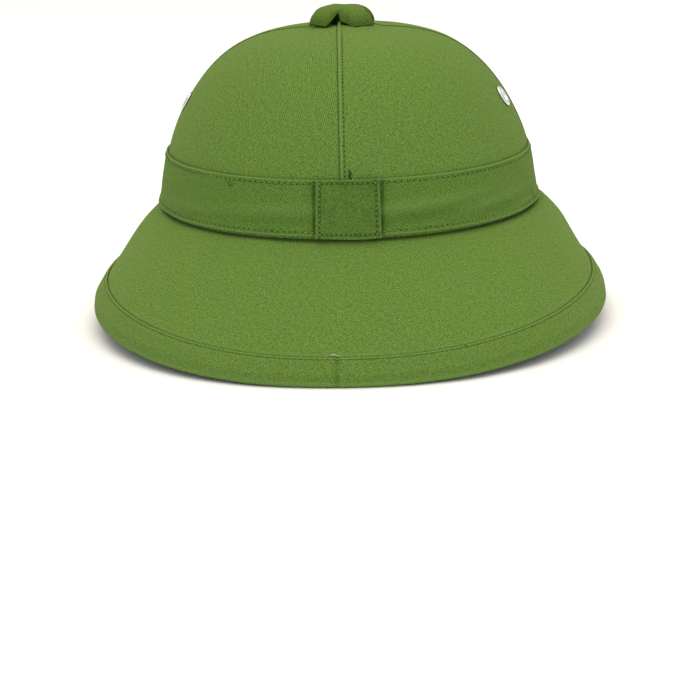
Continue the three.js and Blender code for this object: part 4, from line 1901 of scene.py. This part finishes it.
@dataclass
class VentStrap:
    """One of the two padded cloth straps that cross over the vent hole.

    Attributes:
        name: the solid's name.
        diagonal: the way that it runs, in degrees.
        arch: how high its middle line stands.
        dips: whether it dips in the middle, under the other one.
        seed: chooses its small creases.
        spread: how much wider it is on each side where the straps cross.
        base: how high its feet stand.
        offset_x: how far the crossing lies to the left of the helmet's middle.
        reach: its length from the middle to each foot.
        arch_power: how full the arch is.
        round_radius: the radius that sets the weave's length round it.
    """

    name: str
    diagonal: float
    arch: float
    dips: bool
    seed: int
    base: float = 151.25 * MM
    offset_x: float = 1.9 * MM
    width: float = 15 * MM
    thickness: float = 2.2 * MM
    reach: float = 17.3 * MM
    spread: float = 0.0
    arch_power: float = 2.8
    round_radius: float = 8.3 * MM
    spans: int = 130
    around: int = 64

    def _height(self, along: np.ndarray) -> np.ndarray:
        """The middle line's height at a distance along the strap.

        Args:
            along: distances from the crossing.

        Returns:
            The heights.
        """
        share = np.minimum(np.abs(along) / self.reach, 1)
        height = self.arch * (1 - share**self.arch_power) ** (1 / self.arch_power)
        if not self.dips:
            return height
        beside = 2.7 * MM * (1 - ramp(np.abs(along), 6.6 * MM, 9 * MM))
        return height - beside - 3.6 * MM * hump(along, 0.0, 4.2 * MM)

    def _underside(self, along: np.ndarray) -> np.ndarray:
        """The padded underside's height at a distance along the strap. It rises towards the opening.

        Args:
            along: distances from the crossing.

        Returns:
            The heights.
        """
        aside = np.abs(along)
        if self.dips:
            low = 1.1 * MM + 7.0 * MM * np.clip((17.8 * MM - aside) / (8.4 * MM), 0, 1)
            return low * ramp(aside, 5.2 * MM, 7.4 * MM) + 0.1 * MM
        low = 1.2 * MM + 2.6 * MM * np.clip((15.2 * MM - aside) / (6.6 * MM), 0, 1)
        return low + 4.2 * MM * (1 - ramp(aside, 7.2 * MM, 9.0 * MM))

    def make(self, finishes: Finishes) -> bpy.types.Object:
        """Builds the strap as a closed padded loaf, creased where it bends.

        Args:
            finishes: the materials.

        Returns:
            The finished piece.
        """
        turn = np.linspace(0, math.pi, 800)
        along = self.reach * np.sign(np.cos(turn)) * np.abs(np.cos(turn)) ** (2 / self.arch_power)
        height = self._height(along)
        length = path_lengths(np.stack([along, height], axis=-1)[:, None], 0)[:, 0]
        even = np.linspace(0, length[-1], self.spans)
        along = np.interp(even, length, along)
        top, low = self._height(along) + self.thickness / 2, self._underside(along)
        ring = turns(self.around)
        below = np.maximum(-np.sin(ring), 0)
        wide = np.sign(np.cos(ring)) * np.abs(np.cos(ring)) ** np.where(below > 0, 0.5, 0.7)
        lift = np.maximum(np.sin(ring), 0) ** 0.65
        half_width = self.width / 2 * (1 - 0.14 * np.abs(along / self.reach) ** 10)
        half_width += self.spread * (1 - ramp(np.abs(along), 8 * MM, 12 * MM))
        points = np.stack(
            [
                np.broadcast_to(along[:, None], (self.spans, self.around)),
                half_width[:, None] * wide,
                low[:, None] + np.maximum(top - low, 0.5 * MM)[:, None] * lift - 0.5 * MM * below**0.6,
            ],
            axis=-1,
        )
        crease = 0.3 * MM * unevenness(points, (0.009, 0.012, 0.009), self.seed)
        crease = crease + 0.12 * MM * unevenness(points, (0.003, 0.008, 0.003), self.seed + 1)
        heart = np.stack([along, 0 * along, (top + low) / 2], axis=-1)
        points = points + unit(points - heart[:, None, :]) * (crease * (0.2 + 0.8 * lift))[..., None]
        round_length = np.where(below > 0, 2 * math.pi - ring, ring) * self.round_radius
        piece = self._closed(points, even, round_length)
        # Painted shade on the strap's underside, which darkens the opening under the crossing.
        shade = piece.data.attributes.new("shade", "FLOAT", "POINT")
        underside_shade = np.broadcast_to(ramp(below, 0.1, 0.5)[None, :], points.shape[:2])
        shade.data.foreach_set("value", underside_shade.astype(np.float32).ravel())
        turned = Matrix.Rotation(math.radians(self.diagonal), 4, "Z")
        piece.data.transform(Matrix.Translation((self.offset_x, 0, self.base)) @ turned)
        piece.data.materials.append(finishes.cap_cloth)
        settle(piece, Slot.CLOTH, self.name)
        return piece

    def _closed(self, points: np.ndarray, even: np.ndarray, aside: np.ndarray) -> bpy.types.Object:
        """The strap's rings as a closed mesh, with a flat end face at each foot.

        Args:
            points: the rings' places.
            even: each ring's length along the weave.
            aside: each place's length across the weave.

        Returns:
            The object, in the scene.
        """
        spans, around = points.shape[:2]
        i, j = np.meshgrid(np.arange(spans - 1), np.arange(around), indexing="ij")
        k = (j + 1) % around
        here, there = i * around, (i + 1) * around
        quads = np.stack([here + j, here + k, there + k, there + j], axis=-1)
        faces = quads.reshape(-1, 4).tolist()
        faces += [list(range(around))[::-1], list(range((spans - 1) * around, spans * around))]
        vertices = points.reshape(-1, 3)
        mesh = bpy.data.meshes.new(self.name + "_cloth")
        mesh.from_pydata(vertices.tolist(), [], faces)
        if signed_volume(vertices - vertices.mean(axis=0), np.array(faces[:-2])) < 0:
            mesh.flip_normals()
        place = np.stack(np.broadcast_arrays(even[:, None], aside[None, :]), axis=-1).reshape(-1, 2)
        corner = np.zeros(len(mesh.loops), np.int32)
        mesh.loops.foreach_get("vertex_index", corner)
        layer = mesh.uv_layers.new(name=WEAVE_MAP)
        layer.uv.foreach_set("vector", place[corner].astype(np.float32).ravel())
        return in_scene(self.name + "_cloth", smooth(mesh))


@dataclass(frozen=True)
class LooseThread:
    """A loose thread or a bit of lint on the cloth.

    Attributes:
        name: its name.
        knots: its places: degrees round the helmet, a row, and how far it stands off the cloth.
        radius: its thickness.
        tone: the finish that it takes.
        slot: the record's slot for it, passed on to settle.
    """

    name: str
    knots: tuple[tuple[float, float, float], ...]
    radius: float
    tone: str
    slot: Slot

    def make(self, form: HelmetForm, finishes: Finishes) -> bpy.types.Object:
        """Builds the thread as a thin tube that tapers at both ends.

        Args:
            form: the helmet's surface.
            finishes: the materials.

        Returns:
            The finished piece.
        """
        places = spline(np.array(self.knots), 24)
        points = form.offset(np.radians(places[:, 0]), places[:, 1], places[:, 2] * MM)
        taper = np.sin(np.linspace(0.12, math.pi - 0.12, len(points))) ** 0.6
        sides = 6
        vertices, faces = tube(points, self.radius * taper, sides)
        caps = [list(range(sides))[::-1], list(range(len(vertices) - sides, len(vertices)))]
        mesh = bpy.data.meshes.new(self.name)
        mesh.from_pydata(vertices.tolist(), [], faces.tolist() + caps)
        piece = in_scene(self.name, smooth(mesh))
        piece.data.materials.append(getattr(finishes, self.tone))
        return settle(piece, self.slot)


@dataclass
class Helmet:
    """The whole helmet, built from the shell outwards."""

    form: HelmetForm = field(default_factory=HelmetForm)
    layers: Layers = field(default_factory=Layers)

    def build(self) -> None:
        """Builds and dresses every piece."""
        finishes = Finishes.make()
        stitches = StitchTree()
        left = Eyelet(self.form, self.layers, Side.LEFT, 5.2, 0.401)
        right = Eyelet(self.form, self.layers, Side.RIGHT, 168.3, 0.433)
        Shell(self.form, self.layers).make(finishes, [left, right])
        gores = self._gores()
        for gore in gores:
            own = {Side.LEFT: left, Side.RIGHT: right}[gore.side]
            gore.make(finishes, [own] if gore.end is End.REAR else [])
        lines = [line for gore in gores for line in gore.topstitch_lines()]
        stitches.sew("crown_topstitch", lines, StitchSize(2.5 * MM, 1.6 * MM, 0.22 * MM, 0.16 * MM, 3),
                     finishes, Slot.CLOTH)
        for eyelet in (left, right):
            eyelet.make(finishes)
        BrimCover(self.form, self.layers).make(finishes)
        binding = HemBinding(self.form, self.layers)
        binding.make(finishes)
        stitches.sew("binding_stitches", [binding.stitch_line()],
                     StitchSize(2.6 * MM, 2.1 * MM, 0.17 * MM, 0.1 * MM, 5), finishes, Slot.BINDING)
        band = HatBand(self.form, self.layers)
        band.make(finishes)
        stitches.sew("band_stitches", band.stitch_lines(),
                     StitchSize(3.2 * MM, 2.3 * MM, 0.24 * MM, 0.2 * MM, 7), finishes, Slot.BAND)
        keeper = BandKeeper(self.form, self.layers)
        keeper.make(finishes)
        stitches.sew("keeper_stitches", keeper.stitch_lines(),
                     StitchSize(2.25 * MM, 1.5 * MM, 0.24 * MM, 0.2 * MM, 9), finishes, Slot.BAND)
        VentStrap("vent_strap_under", 45, 9.95 * MM, True, 71).make(finishes)
        VentStrap("vent_strap_over", 135, 9.6 * MM, False, 83, spread=2 * MM).make(finishes)
        for thread in self._loose_threads():
            thread.make(self.form, finishes)

    def _gores(self) -> list[CrownGore]:
        """The four gores. The rear seam is pressed to the right, the front to the left, the sides forward."""
        edges = {
            (Side.LEFT, End.REAR): (SeamEdge.LOW, SeamEdge.LOW),
            (Side.RIGHT, End.REAR): (SeamEdge.LOW, SeamEdge.RIDGE),
            (Side.RIGHT, End.FRONT): (SeamEdge.RIDGE, SeamEdge.LOW),
            (Side.LEFT, End.FRONT): (SeamEdge.RIDGE, SeamEdge.RIDGE),
        }
        return [
            CrownGore(self.form, self.layers, side, end, side_edge, end_edge)
            for (side, end), (side_edge, end_edge) in edges.items()
        ]

    @staticmethod
    def _loose_threads() -> list[LooseThread]:
        """The few loose threads, slubs and bits of lint on the rear of the helmet."""
        fine, coarse, slub = 0.16 * MM, 0.28 * MM, 0.3 * MM
        table = (
            ("keeper_thread", coarse, "dark_thread", Slot.BAND,
             ((84.3, 4.05, 4.0), (84.1, 3.93, 3.4), (84.0, 3.8, 2.0), (84.2, 3.66, 0.8))),
            ("crown_slub", 0.6 * MM, "dark_thread", Slot.CLOTH,
             ((92.7, 5.14, 0.3), (93.1, 5.11, 0.6), (92.9, 5.07, 0.4), (93.6, 5.02, 0.6))),
            ("crown_slub_end", fine, "lint", Slot.CLOTH, ((93.5, 5.03, 0.6), (93.9, 5.005, 0.9))),
            ("brim_lint", slub, "lint", Slot.CLOTH,
             ((88.6, 1.11, 0.6), (89.0, 1.085, 0.9), (89.2, 1.1, 0.8), (89.5, 1.09, 0.5),
              (90.0, 1.065, 0.4))),
            ("band_loop", fine, "dark_thread", Slot.BAND,
             ((55.6, 4.9, 1.6), (55.0, 4.86, 2.1), (55.7, 4.82, 2.1), (56.6, 4.83, 2.0), (56.4, 4.88, 1.6))),
            ("band_end_thread", fine, "thread", Slot.BAND,
             ((161.5, 4.36, 1.7), (163.5, 4.3, 2.6), (165.0, 4.18, 2.4), (166.5, 4.08, 1.9))),
            ("binding_slub", slub, "dark_thread", Slot.BINDING, ((115.0, 1.025, 1.2), (115.4, 1.01, 1.3))),
            ("binding_slub_right", slub, "dark_thread", Slot.BINDING,
             ((133.1, 1.0, 1.2), (133.5, 0.985, 1.3))),
            ("crown_fleck", slub, "lint", Slot.CLOTH, ((135.3, 5.127, 0.1), (135.7, 5.123, 0.2))),
        )
        return [LooseThread(name, knots, radius, tone, slot) for name, radius, tone, slot, knots in table]


@dataclass(frozen=True)
class Studio:
    """A plain pale floor, soft light and the camera behind the helmet.

    Attributes:
        camera_place: where the camera stands.
        camera_aim: what it looks at.
        camera_roll: how far it leans, in degrees.
        focal_pixels: its focal length, in pixels of a picture that is picture_pixels wide.
    """

    camera_place: tuple[float, float, float] = (-0.0463, 1.1603, 0.279)
    camera_aim: tuple[float, float, float] = (0.0013, 0.00005, -0.0237)
    camera_roll: float = 1.19
    focal_pixels: float = 2216.4
    picture_pixels: float = 700.0
    floor_size: float = 30.0
    floor_colour: Colour = (0.9, 0.9, 0.9)

    def build(self) -> None:
        """Builds the floor, the lights and the camera."""
        self._floor()
        self._world()
        self._lamp("overhead_light", (0.0, -0.1, 2.4), (1, 0.88, 0.72), 3.0, 52.0)
        self._lamp("rear_fill", (-0.6, 3.0, 1.5), (0.88, 0.98, 1.2), 3.2, 18.0)
        self._camera()

    def _floor(self) -> None:
        """A large pale floor at z = 0."""
        half = self.floor_size / 2
        corners = [(-half, -half, 0), (half, -half, 0), (half, half, 0), (-half, half, 0)]
        mesh = bpy.data.meshes.new("floor")
        mesh.from_pydata(corners, [], [(0, 1, 2, 3)])
        floor = in_scene("floor", mesh)
        board = NodeBoard("pale_floor")
        board.shader.inputs["Base Color"].default_value = rgba(self.floor_colour)
        board.shader.inputs["Roughness"].default_value = 0.9
        board.shader.inputs["Specular IOR Level"].default_value = 0.1
        floor.data.materials.append(board.material)

    @staticmethod
    def _world() -> None:
        """An even white surround, and colours shown as they are lit."""
        scene = bpy.context.scene
        world = bpy.data.worlds.new("white_surround")
        world.use_nodes = True
        sky = world.node_tree.nodes["Background"]
        sky.inputs["Color"].default_value = (1, 1, 1, 1)
        sky.inputs["Strength"].default_value = 0.77
        scene.world = world
        scene.view_settings.view_transform = "Standard"

    @staticmethod
    def _lamp(
        name: str, place: tuple[float, float, float], colour: Colour, size: float, power: float
    ) -> None:
        """A large soft lamp that points at the helmet.

        Args:
            name: its name.
            place: where it hangs.
            colour: its light's colour.
            size: the side of its square.
            power: its power in watts.
        """
        aim = Vector((0, 0, 0.1))
        lamp = bpy.data.lights.new(name, "AREA")
        lamp.shape = "SQUARE"
        lamp.size = size
        lamp.energy = power
        lamp.color = colour
        holder = in_scene(name, lamp)
        holder.location = place
        holder.rotation_euler = (aim - Vector(place)).to_track_quat("-Z", "Y").to_euler()

    def _camera(self) -> None:
        """The camera, at the photograph's angle to the helmet."""
        data = bpy.data.cameras.new("rear_camera")
        data.sensor_width = 36.0
        data.lens = data.sensor_width * self.focal_pixels / self.picture_pixels
        data.clip_end = 60.0
        camera = in_scene("rear_camera", data)
        aim = (Vector(self.camera_aim) - Vector(self.camera_place)).to_track_quat("-Z", "Y")
        lean = Matrix.Rotation(math.radians(-self.camera_roll), 4, "Z")
        camera.matrix_world = Matrix.Translation(self.camera_place) @ aim.to_matrix().to_4x4() @ lean
        bpy.context.scene.camera = camera


def main() -> None:
    """Builds the studio and the helmet, and reports each piece."""
    logging.basicConfig(level=logging.INFO, format="%(name)s: %(message)s")
    Studio().build()
    Helmet().build()


if __name__ == "__main__":
    main()
